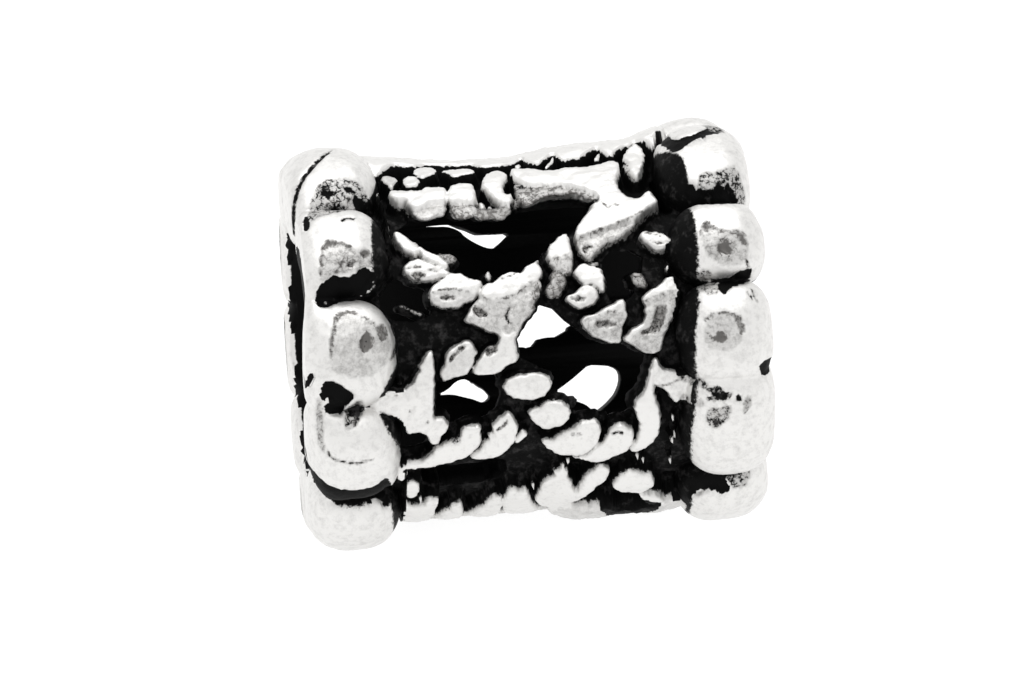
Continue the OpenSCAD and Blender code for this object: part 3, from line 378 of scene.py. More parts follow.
outlines = [(rise, haze, cut_corners(np.array(o) * [1, MM_ROUND], 1)) for rise, haze, o in TOPS]
outlines += [(0.55, 0.1, link_outline([(*q, 0.32) for q in stroke]))
             for route in BACK_ROPES for stroke in rope_strokes(route, 0.5)]
outlines += [(0.6, 0, link_outline([(x - 0.02, a, r), (x + 0.02, a, r)])) for x, a, r in GRAINS]


def turned(round_deg):
    """The same place round the bead from -80 up to 280 degrees, where no outline crosses the end."""
    return (np.asarray(round_deg) + 80) % 360 - 80


def lift(x, round_deg):
    """How many times their own height the tops stand near the skyline and on the underside.

    It is 1 + S (SKYLINE(x) - 1) + U (UNDERSIDE(x) - 1), where S is 1 from 110 to 140 degrees and
    U is 1 below -27 degrees.
    """
    sky, under = np.interp(x, *zip(*SKYLINE)), np.interp(x, *zip(*UNDERSIDE))
    return (1 + smooth(102, 110, round_deg) * smooth(180, 140, round_deg) * (sky - 1)
            + smooth(-18, -27, round_deg) * (under - 1))


def rope_work(x, round_deg):
    """Height above the tube, depth inside the nearest top, and greyness, at places on the bead.

    Over each outline the height is lift * rise * (0.93 * side + 0.07 * crown), where the side
    climbs from 0.09 mm outside the edge to 0.02 mm inside it, and the crown is 1 - exp(-d/0.1) of
    the depth d. The highest top wins.
    """
    shape = np.shape(x)
    x, y = np.ravel(x), np.ravel(turned(round_deg)) * MM_ROUND
    height, depth, haze = np.zeros(x.shape), np.full(x.shape, -0.35), np.zeros(x.shape)
    wobble = 0.02 * waves(x, y, 0 * x, 0.22, 3)
    for rise, grey, outline in outlines:
        d = depth_inside(outline, x, y)
        near = d > -0.3
        d[near] += wobble[near]
        h = rise * (0.93 * smooth(-0.09, 0.02, d) + 0.07 * (1 - np.exp(-np.maximum(d, 0) / 0.1)))
        haze = np.where(h > height, grey, haze)
        height = np.maximum(height, h)
        depth = np.maximum(depth, d)
    height = height * lift(x, y / MM_ROUND)
    return height.reshape(shape), depth.reshape(shape), haze.reshape(shape)


# --- Marks of casting and wear -------------------------------------------------------------------
# Pits, cracks, dents and black pockets that the wax and the casting left on the silver, and grey
# fields where it is worn. They lie on the ropes and on the granules of both end rings.

MARKS = [
    # polish: mm inside the bright part, so -0.1 is black, 0 is half worn off and 0.2 is bright;
    # grey, 0 to 1; dent in mm; half-breadth of a line in mm, or 0 for an outline; points
    # Left ring, from the top down: rim's groove, worn field, black pockets, arches, pits, crack
    (-0.02, 0.6, 0.06, 0.08, [(-5.86, 80), (-5.8, 86), (-5.62, 91.2), (-5.4, 94.7), (-5.11, 98.5),
        (-4.87, 102), (-4.62, 107)]),
    (0.03, 0.55, 0.04, 0, [(-5.08, 90), (-4.82, 90.9), (-4.43, 91.2), (-4.1, 90.7), (-3.9, 89.5),
        (-3.8, 86), (-4.2, 81), (-4.5, 77.5), (-4.94, 75.3), (-5.25, 74.7), (-5.42, 72.8), (-5.53, 78),
        (-5.31, 86.9)]),
    (-0.08, 0.3, 0.06, 0, [(-5.1, 87.4), (-4.8, 87.2), (-4.78, 85.6), (-5.11, 85.8)]),
    (-0.08, 0.3, 0.05, 0, [(-4.5, 88.2), (-4.33, 88.6), (-4.22, 87.2), (-4.42, 86.7)]),
    (-0.08, 0.3, 0.06, 0, [(-4.3, 86.2), (-3.98, 86.6), (-3.85, 84.5), (-4.15, 83.6), (-4.32, 84.6)]),
    (0.2, 0, -0.05, 0, [(-5, 84.6), (-4.82, 85), (-4.7, 83.4), (-4.85, 82.4), (-5.02, 83)]),
    (0.2, 0, -0.05, 0, [(-4.6, 84.6), (-4.45, 84.8), (-4.42, 82.5), (-4.58, 82.2)]),
    (0.2, 0, -0.06, 0.05, [(-5.3, 77.5), (-5.05, 77.6), (-4.8, 77.8)]),
    (-0.08, 0, 0.08, 0, [(-5.62, 78.4), (-5.46, 77), (-5.49, 70.5), (-5.68, 71.5)]),
    (-0.03, 0.8, 0.06, 0.055, [(-4.7, 71.6), (-4.52, 73), (-4.32, 72.6)]),
    (0.2, 0.45, 0.03, 0, [(-5.22, 66), (-4.95, 65.3), (-4.66, 64), (-4.42, 62.3), (-4.22, 62.5),
        (-4.06, 62.5), (-3.95, 60.5), (-3.92, 58), (-4.36, 56.9), (-4.73, 55.8), (-5.08, 55.3),
        (-5.4, 53.8), (-5.3, 59.6)]),
    (0.045, 1, 0.01, 0.04, [(-5.38, 54), (-5.34, 58), (-5.26, 62.5), (-5.2, 64.4), (-5.1, 65.4),
        (-4.93, 64.9), (-4.66, 63.9), (-4.45, 62.3)]),
    (0.1, 1.1, 0.02, 0.06, [(-5.18, 63.8), (-5.1, 64.6), (-4.97, 64.2)]),
    (0.045, 1.3, 0.05, 0, [(-4.33, 61.5), (-4.21, 62.8), (-4.09, 62.7), (-4.07, 61.4), (-4.16, 60.1),
        (-4.26, 60.4)]),
    (0.04, 1.2, 0.02, 0.025, [(-5, 56.5), (-4.87, 57.6), (-4.8, 58.9), (-4.67, 59.6), (-4.5, 59.4),
        (-4.38, 58.6)]),
    (0.02, 1.2, 0.08, 0, [(-4.72, 58.2), (-4.62, 59.1), (-4.49, 58.9), (-4.47, 58), (-4.58, 57.2)]),
    (-0.12, 0, 0.14, 0, [(-5.48, 53.1), (-5.24, 54.8), (-4.98, 56.3), (-4.86, 55), (-4.6, 55.3),
        (-4.39, 56.6), (-4.28, 58), (-4.13, 57.4), (-4.04, 56.3), (-3.88, 55.9), (-3.99, 54.3),
        (-4.11, 52.3), (-4.32, 50.8), (-4.63, 50.1), (-4.88, 49.4), (-5.17, 47.1), (-5.4, 46.7),
        (-5.56, 48.5), (-5.52, 51)]),
    (0.02, 0.6, 0.02, 0, [(-4.08, 54.8), (-3.83, 54.9), (-3.85, 52.3), (-4.05, 51.9)]),
    (0.05, 0.6, -0.06, 0.03, [(-5.34, 48.8), (-5.22, 49)]),
    (0.2, 0.38, 0.02, 0, [(-5.19, 40.1), (-5.11, 43.5), (-4.91, 45.2), (-4.66, 45.3), (-4.42, 44.2),
        (-4.23, 42.2), (-4.04, 40.1), (-3.84, 39.2), (-3.7, 35.3), (-3.8, 30.2), (-4.14, 26.7),
        (-4.66, 26.3), (-5.25, 27.9), (-5.32, 32.3)]),
    (0.06, 1.1, 0.02, 0.05, [(-5.24, 30.2), (-5.24, 36.1), (-5.17, 39.3), (-5.09, 43), (-4.91, 44.6),
        (-4.66, 44.7), (-4.45, 43.6)]),
    (0.08, 0.9, 0.01, 0.03, [(-4.45, 43.6), (-4.23, 42), (-4.05, 40.1)]),
    (0.2, 1.3, 0.1, 0, [(-4.47, 38.2), (-4.31, 38.9), (-4.2, 37.6), (-4.21, 35.2), (-4.36, 32.9),
        (-4.53, 33.1), (-4.56, 35.5)]),
    (0.03, 1.4, 0.03, 0, [(-4.43, 37.2), (-4.31, 37.4), (-4.3, 35.5), (-4.4, 34), (-4.46, 35.4)]),
    (0.07, 1, 0.03, 0, [(-4.09, 40.4), (-3.88, 41), (-3.77, 38.3), (-3.88, 35.8), (-4.03, 35.8),
        (-4.06, 37.8)]),
    (0.2, 0.2, -0.03, 0, [(-4, 39.2), (-3.9, 39.4), (-3.88, 37.2), (-3.98, 37)]),
    (0.03, 0.9, 0.03, 0.05, [(-3.62, 46), (-3.53, 42), (-3.49, 38.7), (-3.53, 35.6), (-3.67, 31.9),
        (-3.8, 29.8)]),
    (-0.08, 0, 0.1, 0, [(-5.93, 26.3), (-5.73, 29), (-5.69, 27.1), (-5.85, 23.7), (-5.96, 22.4)]),
    (-0.12, 0, 0.2, 0, [(-5.61, 23.8), (-5.5, 26.2), (-5.21, 25.5), (-4.97, 23.8), (-4.72, 21.2),
        (-4.82, 19.4), (-4.98, 17.2), (-5.09, 14.7), (-5.34, 14.8), (-5.56, 16.6), (-5.64, 20.1)]),
    (0.2, 0, -0.1, 0, [(-5.48, 20.8), (-5.37, 20.4), (-5.4, 18.1), (-5.5, 18)]),
    (0.03, 0.55, 0.05, 0, [(-5.08, 13.4), (-4.97, 15.3), (-4.83, 18), (-4.68, 19.6), (-4.5, 19.4),
        (-4.54, 14.9), (-4.65, 12.6), (-4.82, 11), (-5.05, 10.7)]),
    (0.02, 1.1, 0.05, 0.06, [(-4.7, 19), (-4.66, 16), (-4.72, 13.2), (-4.85, 12)]),
    (0.2, 0, -0.04, 0.04, [(-5, 14.2), (-4.85, 16.6)]),
    (0.2, 0.5, 0.02, 0.09, [(-5.67, 21.4), (-5.63, 16.4), (-5.66, 11.7), (-5.66, 7.7), (-5.6, 4.2)]),
    (0, 0.8, 0.03, 0.03, [(-5.56, 4.5), (-5.42, 3.3), (-5.17, 2.2), (-4.87, 1.4), (-4.57, 1.9),
        (-4.34, 2.4)]),
    (0, 1, 0.02, 0.035, [(-5.52, 5), (-5.44, 3.6)]),
    (-0.1, 0, 0.1, 0, [(-6.2, -1.5), (-5.9, -4), (-5.6, -6.3), (-5.2, -8), (-4.67, -8.4), (-4.31, -7.4),
        (-3.95, -4.5), (-3.8, -22), (-3.9, -27.5), (-4.05, -26.5), (-4.15, -24), (-4.3, -22.5),
        (-4.42, -24), (-4.6, -22), (-4.8, -23), (-5, -22), (-5.25, -22.5), (-5.45, -21), (-5.6, -20),
        (-5.8, -21.5), (-6.2, -20)]),
    (0.05, 0.8, 0.03, 0.03, [(-5.98, -99), (-5.9, -95), (-5.95, -80), (-5.97, -71)]),
    # Left ring's far rim, worn to specks
    (0.01, 0.6, 0.02, 0, [(-6.2, 184), (-5.6, 182), (-5.6, 166), (-6.2, 168)]),
    (0.01, 0.6, 0.02, 0, [(-6.2, 224), (-5.6, 224), (-5.6, 202), (-6.2, 204)]),
    # Right ring, from the top down: joint's line, worn fields, black pockets, arch, pits
    (-0.06, 0.5, 0.06, 0, [(3.7, 111), (4.03, 117), (4.06, 105.6), (4.1, 98.7), (4.35, 97.3), (4.65, 98.6),
        (4.83, 100), (5.06, 103.8), (5.39, 103.7), (5.33, 99), (5.11, 97.6), (4.73, 96), (4.43, 93.4),
        (4.17, 91.2), (3.95, 92), (3.8, 100)]),
    (0.02, 0.6, 0.02, 0, [(4.9, 106), (5.1, 107.5), (5.5, 107), (5.48, 100), (5.3, 100), (5, 102.5)]),
    (0.03, 0.55, 0.03, 0, [(4.5, 80.5), (4.62, 81.5), (4.97, 81.5), (5.2, 82.5), (5.46, 84), (5.6, 83),
        (5.72, 79), (5.8, 72), (5.6, 73), (5.39, 75.5), (4.84, 76), (4.4, 76.5)]),
    (-0.1, 0, 0.12, 0, [(4.1, 80), (4.37, 79.5), (4.5, 77), (4.84, 76.5), (5, 78.5), (5.1, 76.5),
        (5.25, 79), (5.39, 76.5), (5.56, 74.5), (5.8, 74), (5.72, 70.9), (5.17, 68.9), (4.66, 69.4),
        (4.34, 70.3), (4.1, 71.2)]),
    (0.2, 0, -0.08, 0, [(4.66, 74.8), (4.77, 74.7), (4.78, 73.2), (4.67, 73.3)]),
    (0.2, 0.45, 0.02, 0, [(4.34, 61.7), (4.54, 61.8), (4.68, 60.2), (5, 58.8), (5.44, 58.7), (5.49, 54),
        (5.45, 50.9), (4.94, 49), (4.45, 52.1), (4.29, 55.5)]),
    (0.05, 1, 0.02, 0.03, [(4.31, 56.5), (4.32, 60.3), (4.39, 62.2), (4.55, 62.1), (4.68, 60.5), (5, 58.8),
        (5.26, 59), (5.44, 58.4), (5.46, 55.9), (5.48, 53.6)]),
    (0.07, 1.2, 0.03, 0, [(5.2, 58.9), (5.45, 58.6), (5.46, 55.4), (5.34, 55.2)]),
    (0.07, 1.1, 0.03, 0, [(4.35, 62.2), (4.6, 61.9), (4.55, 59.8), (4.38, 59.6)]),
    (0.2, 0.7, 0.03, 0, [(4.62, 55), (4.72, 57.2), (4.95, 57.3), (5.12, 55.2), (5.1, 52.6), (4.92, 51.6),
        (4.68, 52.6)]),
    (0.12, 1.5, 0.1, 0, [(4.69, 54.9), (4.75, 56.2), (4.93, 56.3), (5.04, 54.9), (5.04, 53.2), (4.91, 52.7),
        (4.74, 53.4)]),
    (-0.1, 0, 0.1, 0, [(4.65, 45.3), (4.91, 47), (5.35, 49), (5.6, 49.5), (5.56, 47), (5.37, 44.8),
        (5.07, 43.9), (4.84, 42.5), (4.79, 40.8), (4.66, 42.6), (4.6, 43.6)]),
    (0.03, 0.5, 0.02, 0, [(4.2, 50), (4.5, 49.5), (4.62, 46), (4.66, 42), (4.4, 41), (4.15, 44)]),
    (0.2, 0, -0.06, 0, [(4.32, 48.4), (4.45, 48.4), (4.45, 46.8), (4.32, 46.8)]),
    (0.02, 0.8, 0.04, 0.03, [(5.41, 51.4), (5.48, 49)]),
    (0, 0.8, 0.04, 0.03, [(5.47, 43), (5.54, 40.4), (5.58, 38.6)]),
    (0, 0.8, 0.03, 0.025, [(5.32, 42.1), (5.46, 39.7)]),
    (0.2, 0.38, 0.02, 0, [(4.25, 35), (4.44, 36.3), (4.77, 36.3), (5.04, 35), (5.15, 32.8), (5.12, 28),
        (4.7, 25.5), (4.25, 26.5), (4.1, 30)]),
    (0.06, 1, 0.02, 0.03, [(4.2, 34.8), (4.44, 36.1), (4.77, 36.1), (5.04, 34.8), (5.15, 32.8)]),
    (0.07, 1, 0.02, 0, [(4.92, 35.7), (5.14, 35), (5.18, 31), (5.06, 30), (4.98, 33)]),
    (0.09, 1.3, 0.08, 0, [(4.42, 30), (4.52, 31.6), (4.66, 31.2), (4.72, 29.3), (4.6, 28), (4.48, 28.6)]),
    (0.1, 1.1, 0.03, 0.035, [(4.24, 31), (4.36, 29.8), (4.48, 29)]),
    (0.08, 0.8, 0.02, 0.025, [(4.2, 31.5), (4.38, 33), (4.57, 33.4)]),
    (0.03, 0.5, 0.02, 0, [(3.4, 17.5), (3.78, 18), (4.1, 17.5), (4.2, 15.5), (3.9, 14.8), (3.6, 15.5)]),
    (0.04, 0.5, 0.02, 0, [(3.5, 10.5), (3.75, 11.5), (4.1, 12), (4.1, 9.5), (3.75, 8.6), (3.5, 8)]),
    (-0.1, 0, 0.05, 0, [(5.5, 21), (5.75, 21.8), (6.1, 21), (6.1, 17), (5.7, 16), (5.55, 17.5)]),
    (0, 0.7, 0.06, 0, [(4.02, 15.7), (4.2, 16.2), (4.22, 15.1), (4.37, 15.6), (4.48, 16.1), (4.54, 15),
        (4.69, 13.6), (4.8, 13.6), (4.74, 11.7), (4.49, 11.2), (4.35, 11.6), (4.15, 11.1), (4.1, 12.6),
        (4.3, 13.1), (4.17, 14), (4.04, 14.6)]),
    (-0.06, 0.5, 0.05, 0, [(4.35, 13.2), (4.55, 13.6), (4.7, 13), (4.65, 12), (4.4, 12)]),
    (-0.03, 0.6, 0.05, 0, [(4.88, 13.2), (5.06, 12.8), (5.04, 10.5), (4.9, 10.5)]),
    (0.04, 0.55, 0.04, 0, [(4.1, 8.2), (4.28, 10.1), (4.48, 9.8), (4.66, 10.9), (4.8, 9.4), (4.67, 6.2),
        (4.44, 3.3), (4.2, 3.1), (4.1, 5.4)]),
    (0.2, 0.1, -0.04, 0.04, [(4.35, 8.2), (4.5, 7.6), (4.6, 8.6)]),
    (0, 1.2, 0.04, 0.05, [(4.28, 6.6), (4.36, 4.6), (4.5, 5.6)]),
    (0.2, 0.7, 0.01, 0, [(5.11, 12.5), (5.27, 12.1), (5.28, 9.2), (5.12, 7.5), (5, 7.5)]),
    (-0.1, 0, 0.15, 0, [(3.8, -23), (4.13, -22.5), (4.49, -21.8), (4.75, -22), (4.72, -24.3), (4.9, -26.3),
        (4.78, -27.8), (4.61, -28.1), (4.4, -26.9), (4.2, -28.6), (4.07, -30.2), (3.8, -34)]),
    (0.03, 0.55, 0.04, 0, [(4.68, -22), (4.9, -18), (5.35, -18), (5.45, -24.2), (5.18, -26.8),
        (4.89, -26.4)]),
    # Spur to the left ring, leaves, wedge block and forked boss
    (0, 0.9, 0.06, 0.03, [(-3.69, 18.5), (-3.61, 18.5)]),
    (0.05, 1, 0.03, 0.035, [(-3.37, 13.2), (-3.32, 13.2)]),
    (0.05, 1, 0.03, 0.035, [(-2.92, 9), (-2.87, 9)]),
    (0.04, 1, 0.08, 0.05, [(-2.31, 28), (-2.12, 30), (-1.92, 32), (-1.84, 32.4)]),
    (0.04, 1, 0.06, 0, [(-1.36, 30.4), (-1.22, 31.9), (-1.03, 32.6), (-1.01, 30.5), (-1.19, 28.8),
        (-1.34, 28.4)]),
    (0.2, 0.4, 0.04, 0, [(-1.4, 48.9), (-1.2, 46.3), (-0.95, 45.9), (-0.72, 46.4), (-0.54, 46.9),
        (-0.35, 48), (-0.13, 50), (0.09, 52.1), (0.3, 51), (0.3, 47), (0, 42), (-0.3, 37.5), (-0.6, 35),
        (-1, 35), (-1.85, 40), (-1.7, 45)]),
    (0.05, 0.9, 0.01, 0.022, [(-1.38, 49), (-1.2, 46.5), (-0.95, 46.1), (-0.72, 46.6), (-0.54, 47.1),
        (-0.35, 48.2), (-0.13, 50.2), (0.09, 52.3)]),
    (0.03, 0.9, 0.03, 0.025, [(-0.86, 52.4), (-0.67, 53), (-0.51, 53.5), (-0.29, 55.2), (-0.07, 56.7)]),
    (0.08, 0.8, 0, 0.09, [(0.12, 50.5), (0.05, 46.5), (-0.14, 42.4)]),
    (0.04, 1, 0.1, 0, [(-1.58, 44.7), (-1.4, 44.3), (-1.22, 42.4), (-1.22, 40.8), (-1.42, 41),
        (-1.59, 43)]),
    (-0.02, 1, 0.1, 0.04, [(-0.62, 44), (-0.68, 42.4), (-0.74, 40.6), (-0.7, 39), (-0.63, 37.8)]),
    (0.2, 0.36, 0.04, 0, [(-2.7, 49.6), (-2.44, 50.4), (-2.11, 50.8), (-1.86, 50.2), (-1.6, 49.3),
        (-1.4, 48), (-1.4, 44.5), (-2.4, 43.5), (-2.7, 46)]),
    (0.05, 0.9, 0.01, 0.022, [(-2.62, 49.7), (-2.44, 50.5), (-2.11, 50.9), (-1.86, 50.3), (-1.61, 49.4)]),
    (0.04, 1, 0.06, 0, [(-2.38, 48.9), (-2.12, 49), (-1.95, 47.9), (-2.18, 47.3), (-2.38, 47.8)]),
    # Lens, lozenge and the L-shaped piece round the great window
    (0.03, 1, 0.06, 0, [(0.9, 45.5), (1.15, 45), (1.4, 45.1), (1.22, 43.6), (0.97, 44)]),
    (0.2, 0.42, 0.03, 0, [(1.2, 38.8), (1.69, 38.5), (1.93, 39.8), (2.13, 38.7), (2.35, 39.2), (2.3, 30),
        (1.3, 31.5), (1.1, 35)]),
    (0.06, 0.8, 0.01, 0.022, [(1.36, 39), (1.69, 38.7), (1.93, 40), (2.13, 38.9), (2.31, 39.4)]),
    (0.05, 1, 0.07, 0, [(1.42, 36.6), (1.68, 37.4), (1.91, 36.8), (2.08, 35.9), (1.84, 34.4), (1.57, 35)]),
    (0.2, 0.42, 0.03, 0, [(2.75, 41.9), (3.05, 43.2), (3.39, 44.1), (3.75, 44.2), (3.6, 38), (3.2, 26),
        (2.7, 25), (2.2, 30), (2.8, 35)]),
    (0.06, 0.8, 0.01, 0.022, [(2.79, 42), (3.05, 43.4), (3.39, 44.3), (3.65, 44.4)]),
    (0.05, 1, 0.09, 0, [(3.14, 40.8), (3.35, 40.3), (3.28, 36.3), (3.12, 32.5), (2.89, 31.5), (2.55, 32.2),
        (2.86, 33.8), (2.98, 36.6), (3.05, 39.6)]),
    (0.05, 0.8, 0.01, 0.03, [(2.9, 15), (3.15, 14.6), (3.6, 16.5), (3.85, 14.5)]),
    # Leaf, band, wedge and lens above, and the links of the diagonal rope
    (0.2, 0.45, 0.03, 0, [(0.45, 57.4), (0.65, 58.1), (0.83, 58.4), (1.1, 59.4), (1.1, 53), (0.73, 53.5),
        (0.5, 55.3)]),
    (0.05, 0.9, 0.01, 0.022, [(0.47, 57.5), (0.65, 58.3), (0.83, 58.5), (1.02, 59.6)]),
    (0.05, 0.9, 0.01, 0.025, [(1.2, 64.4), (1.59, 65.8), (2.12, 67.8), (2.52, 69.6), (3.07, 72.9)]),
    (0.04, 1, 0.04, 0, [(1.37, 61.4), (1.56, 62.9), (1.66, 62.1), (1.54, 60.5), (1.38, 59.3)]),
    (0.05, 0.9, 0.03, 0.03, [(2, 77.6), (2.08, 76.1), (2.16, 74.5), (2.27, 75.9), (2.5, 75.2)]),
    (0.01, 0.6, 0.05, 0, [(1.72, 81), (1.98, 81), (1.95, 77.5), (1.78, 77.5)]),
    (0.06, 0.9, 0.02, 0.022, [(2.97, 65.3), (3.24, 64), (3.48, 62.6)]),
    (0.04, 0.9, 0.03, 0.025, [(3.09, 62), (3.33, 60.7), (3.55, 61.5)]),
    (0.05, 1, 0.04, 0, [(-3.07, 56.9), (-2.86, 57.6), (-2.65, 56.3), (-2.73, 55), (-2.98, 55.2)]),
    (0.06, 0.8, 0.01, 0.022, [(-3.2, 58.8), (-2.9, 59.2), (-2.6, 57.8), (-2.3, 56.8)]),
    # Underside: black hollow at the rim
    (-0.1, 0.5, 0.04, 0, [(1.5, -37), (1.7, -43), (1.85, -50), (2, -70), (2.7, -70), (2.9, -52), (3.1, -44),
        (3.2, -38), (2.6, -34)]),
    # Lower rope: speckled rims, cracks and small pits
    (0, 0.45, 0.02, 0, [(-2.37, 1.6), (-2.1, 2.6), (-2.05, 0.4), (-2.3, -0.4)]),
    (0.05, 0.9, 0.03, 0.035, [(-1.2, 4), (-1, 5.2), (-0.87, 7.5)]),
    (0.05, 0.9, 0.03, 0.025, [(0.74, 0.2), (0.88, 0.4), (1.03, 0.2)]),
    (-0.01, 0.9, 0.05, 0.045, [(1.75, -0.8), (1.92, -0.5), (2.08, -0.8)]),
    (0.06, 0.9, 0.03, 0.025, [(0.78, -9.3), (1.2, -8.5), (1.3, -6.5)]),
]
# Grooves that show the twist of the skyline band and of the back's ropes
MARKS += [(-0.1, 0.5, 0.25, 0.04, [(x, 141), (x + 0.3, 132), (x + 0.75, 123)])
          for x in np.arange(-4, 3.6, 0.9)]
MARKS += [(-0.1, 0.5, 0.25, 0.05, stroke)
          for route in BACK_ROPES for stroke in rope_strokes(route, 0)]


def marked(x, round_deg):
    """Polish, grey and dent that the marks leave at places on the bead; polish 0.2 where none is.

    Each mark counts fully from 0.03 mm inside its edge, and fades out 0.03 mm outside it.
    """
    shape = np.shape(x)
    x, y = np.ravel(x), np.ravel(turned(round_deg)) * MM_ROUND
    polish, grey, dent = np.full(x.shape, 0.2), np.zeros(x.shape), np.zeros(x.shape)
    wobble = 0.02 * waves(x, y, 0 * x, 0.15, 4)
    for level, haze, deep, half, points in MARKS:
        if half:
            outline = link_outline([(*q, half) for q in points])
        else:
            outline = cut_corners(np.array(points) * [1, MM_ROUND], 1)
        d = depth_inside(outline, x, y, 0.2)
        near = d > -0.15
        cover = smooth(-0.03, 0.03, d[near] + wobble[near])
        polish[near] += cover * (level - polish[near])
        grey[near] = np.maximum(grey[near], cover * haze)
        dent[near] += smooth(-0.04, 0.08, d[near] + wobble[near]) * deep
    return polish.reshape(shape), grey.reshape(shape), dent.reshape(shape)


# --- Windows -------------------------------------------------------------------------------------
# The wall was pierced between the ropes while it was wax. Some windows of the back stand where
# daylight shows through those of the front, and the others are plain holes.

WINDOWS = [
    # corners, which are then rounded
    [(-0.64, 28), (-0.32, 43), (0.4, 45), (0.96, 36), (1.6, 31), (2.72, 29), (2.96, 16), (2.24, 1),
        (1.2, 1.5), (0.32, 12), (0.16, 22)],
    [(-2.72, 25), (-1.2, 25), (-0.88, 16), (-1.12, 7), (-1.76, 4), (-2.72, 5)],
    [(-3.44, 76), (-2.96, 82), (-2.4, 86), (-1.36, 86), (-0.88, 79), (0.2, 84), (0.8, 89), (1.92, 88),
        (2, 76), (1.04, 70), (0.64, 61), (-0.4, 55), (-1.28, 54), (-2.2, 61), (-2.96, 68)],
    [(1.76, 62), (2.96, 62), (2.8, 50), (2.4, 43), (1.84, 44)],
    [(-3.92, 58), (-3.2, 58), (-2.48, 51), (-2.64, 42), (-3.84, 43)],
    [(3.12, 76), (4, 76), (4, 97), (3.44, 98), (3.36, 88)],
    [(-3.76, -5), (-2.96, -4.5), (-2.64, 0), (-2.96, 5), (-3.68, 5)],
    [(-3.12, -13), (-2, -17), (-0.88, -13), (-0.8, -25), (-1.6, -30), (-2.96, -30)],
    [(1.12, -28), (1.76, -22), (2.48, -29), (2.96, -42), (2.64, -54), (1.36, -54)],
    [(-3.52, 106), (-2.64, 104), (-2.48, 113), (-2.64, 119), (-3.44, 119)],
    [(1, 238.4), (1.45, 234.6), (1.8, 231), (2, 228.9), (2.35, 229.4), (2.72, 230.4), (2.86, 232.9),
        (2.84, 236.8), (2.66, 241.7), (2.44, 244.6), (2.04, 249), (1.86, 245), (1.7, 243.4), (1.37, 241.3)],
    [(-0.4, 222), (0.2, 221.5), (0.96, 219.5), (1.88, 213.5), (1.76, 207), (1.08, 204), (0.4, 206),
        (-0.4, 214)],
    [(-2.15, 236), (-1.8, 234.2), (-1.57, 231.2), (-1.32, 230.3), (-1.06, 232.2), (-0.8, 235.3),
        (-0.64, 238.5), (-0.85, 240.6), (-1.03, 239.4), (-1.29, 237.8), (-1.63, 236.3)],
    [(-2.25, 168), (-1.9, 167), (-1.6, 167.3), (-1.3, 170.2), (-1.01, 172.6), (-0.75, 174.6), (-0.5, 175.1),
        (0.17, 175), (-0.13, 179.6), (-0.3, 182), (-0.55, 181.4), (-0.87, 178.6), (-1.11, 175.5),
        (-1.28, 172.3), (-1.65, 169.7), (-1.95, 168.9)],
    [(-2, 264), (-0.4, 268), (0, 282), (-1.2, 288), (-2.2, 280)],
    [(0.96, 270), (2.24, 266), (3.28, 268), (2.8, 286), (1.2, 290)],
    [(-3.84, 226), (-2.96, 224), (-2.8, 236), (-3.76, 237)],
    [(-3.44, 127), (-1.6, 128), (-0.4, 138), (-2, 136), (-3.52, 137)],
    [(0.4, 132), (2.4, 134), (3.28, 140), (2, 146), (0.48, 144)],
]
window_outlines = [cut_corners(np.array(w) * [1, np.pi / 180 * GROUND], 1) for w in WINDOWS]


def opening(x, round_deg):
    """Depth in mm inside a window and outside every top; positive where the wall is pierced.

    A strip 0.09 mm wide is left in front of each top, but none under the upper ropes.
    """
    shape = np.shape(x)
    x, angle = np.ravel(x), np.ravel(turned(round_deg))
    y = angle * np.pi / 180 * GROUND
    window = np.full(x.shape, -0.35)
    for outline in window_outlines:
        window = np.maximum(window, depth_inside(outline, x, y))
    _, top, _ = rope_work(x, angle)
    strip = 0.09 * (1 - smooth(66, 72, angle) * smooth(94, 88, angle))
    return np.minimum(window, -top - strip).reshape(shape)


# --- Wall ----------------------------------------------------------------------------------------
# The pierced tube with its rope work, as one closed shell: an outer skin over a grid along and
# round the bead, the bore inside, and the windows' sides, which run along the line of sight.

BORE = 3.3              # radius of the bore, mm
SIGHT = 35              # degrees round the bead that the pierced windows face
# How much further from SIGHT a window's side is at the bore than at the skin: degrees from SIGHT,
# then degrees more. The first table follows BORE * sin(a') = GROUND * sin(a) up to 45 degrees, and
# the second, for the front above SIGHT, opens the windows wider inside.
SIDE_TURN = [(0, 0), (10, 2.6), (20, 5.5), (30, 9), (40, 13.9), (45, 17.8), (90, 0)]
TOP_SIDE_TURN = [(0, 0), (10, 2.6), (20, 5.5), (30, 9), (38, 16), (43, 26), (90, 0)]


def on_bead(x, round_deg, r):
    """Point at x mm along, round_deg degrees round from the front and r mm from the axis."""
    a = np.radians(round_deg)
    return np.stack(np.broadcast_arrays(x, -r * np.cos(a), r * np.sin(a)), -1)


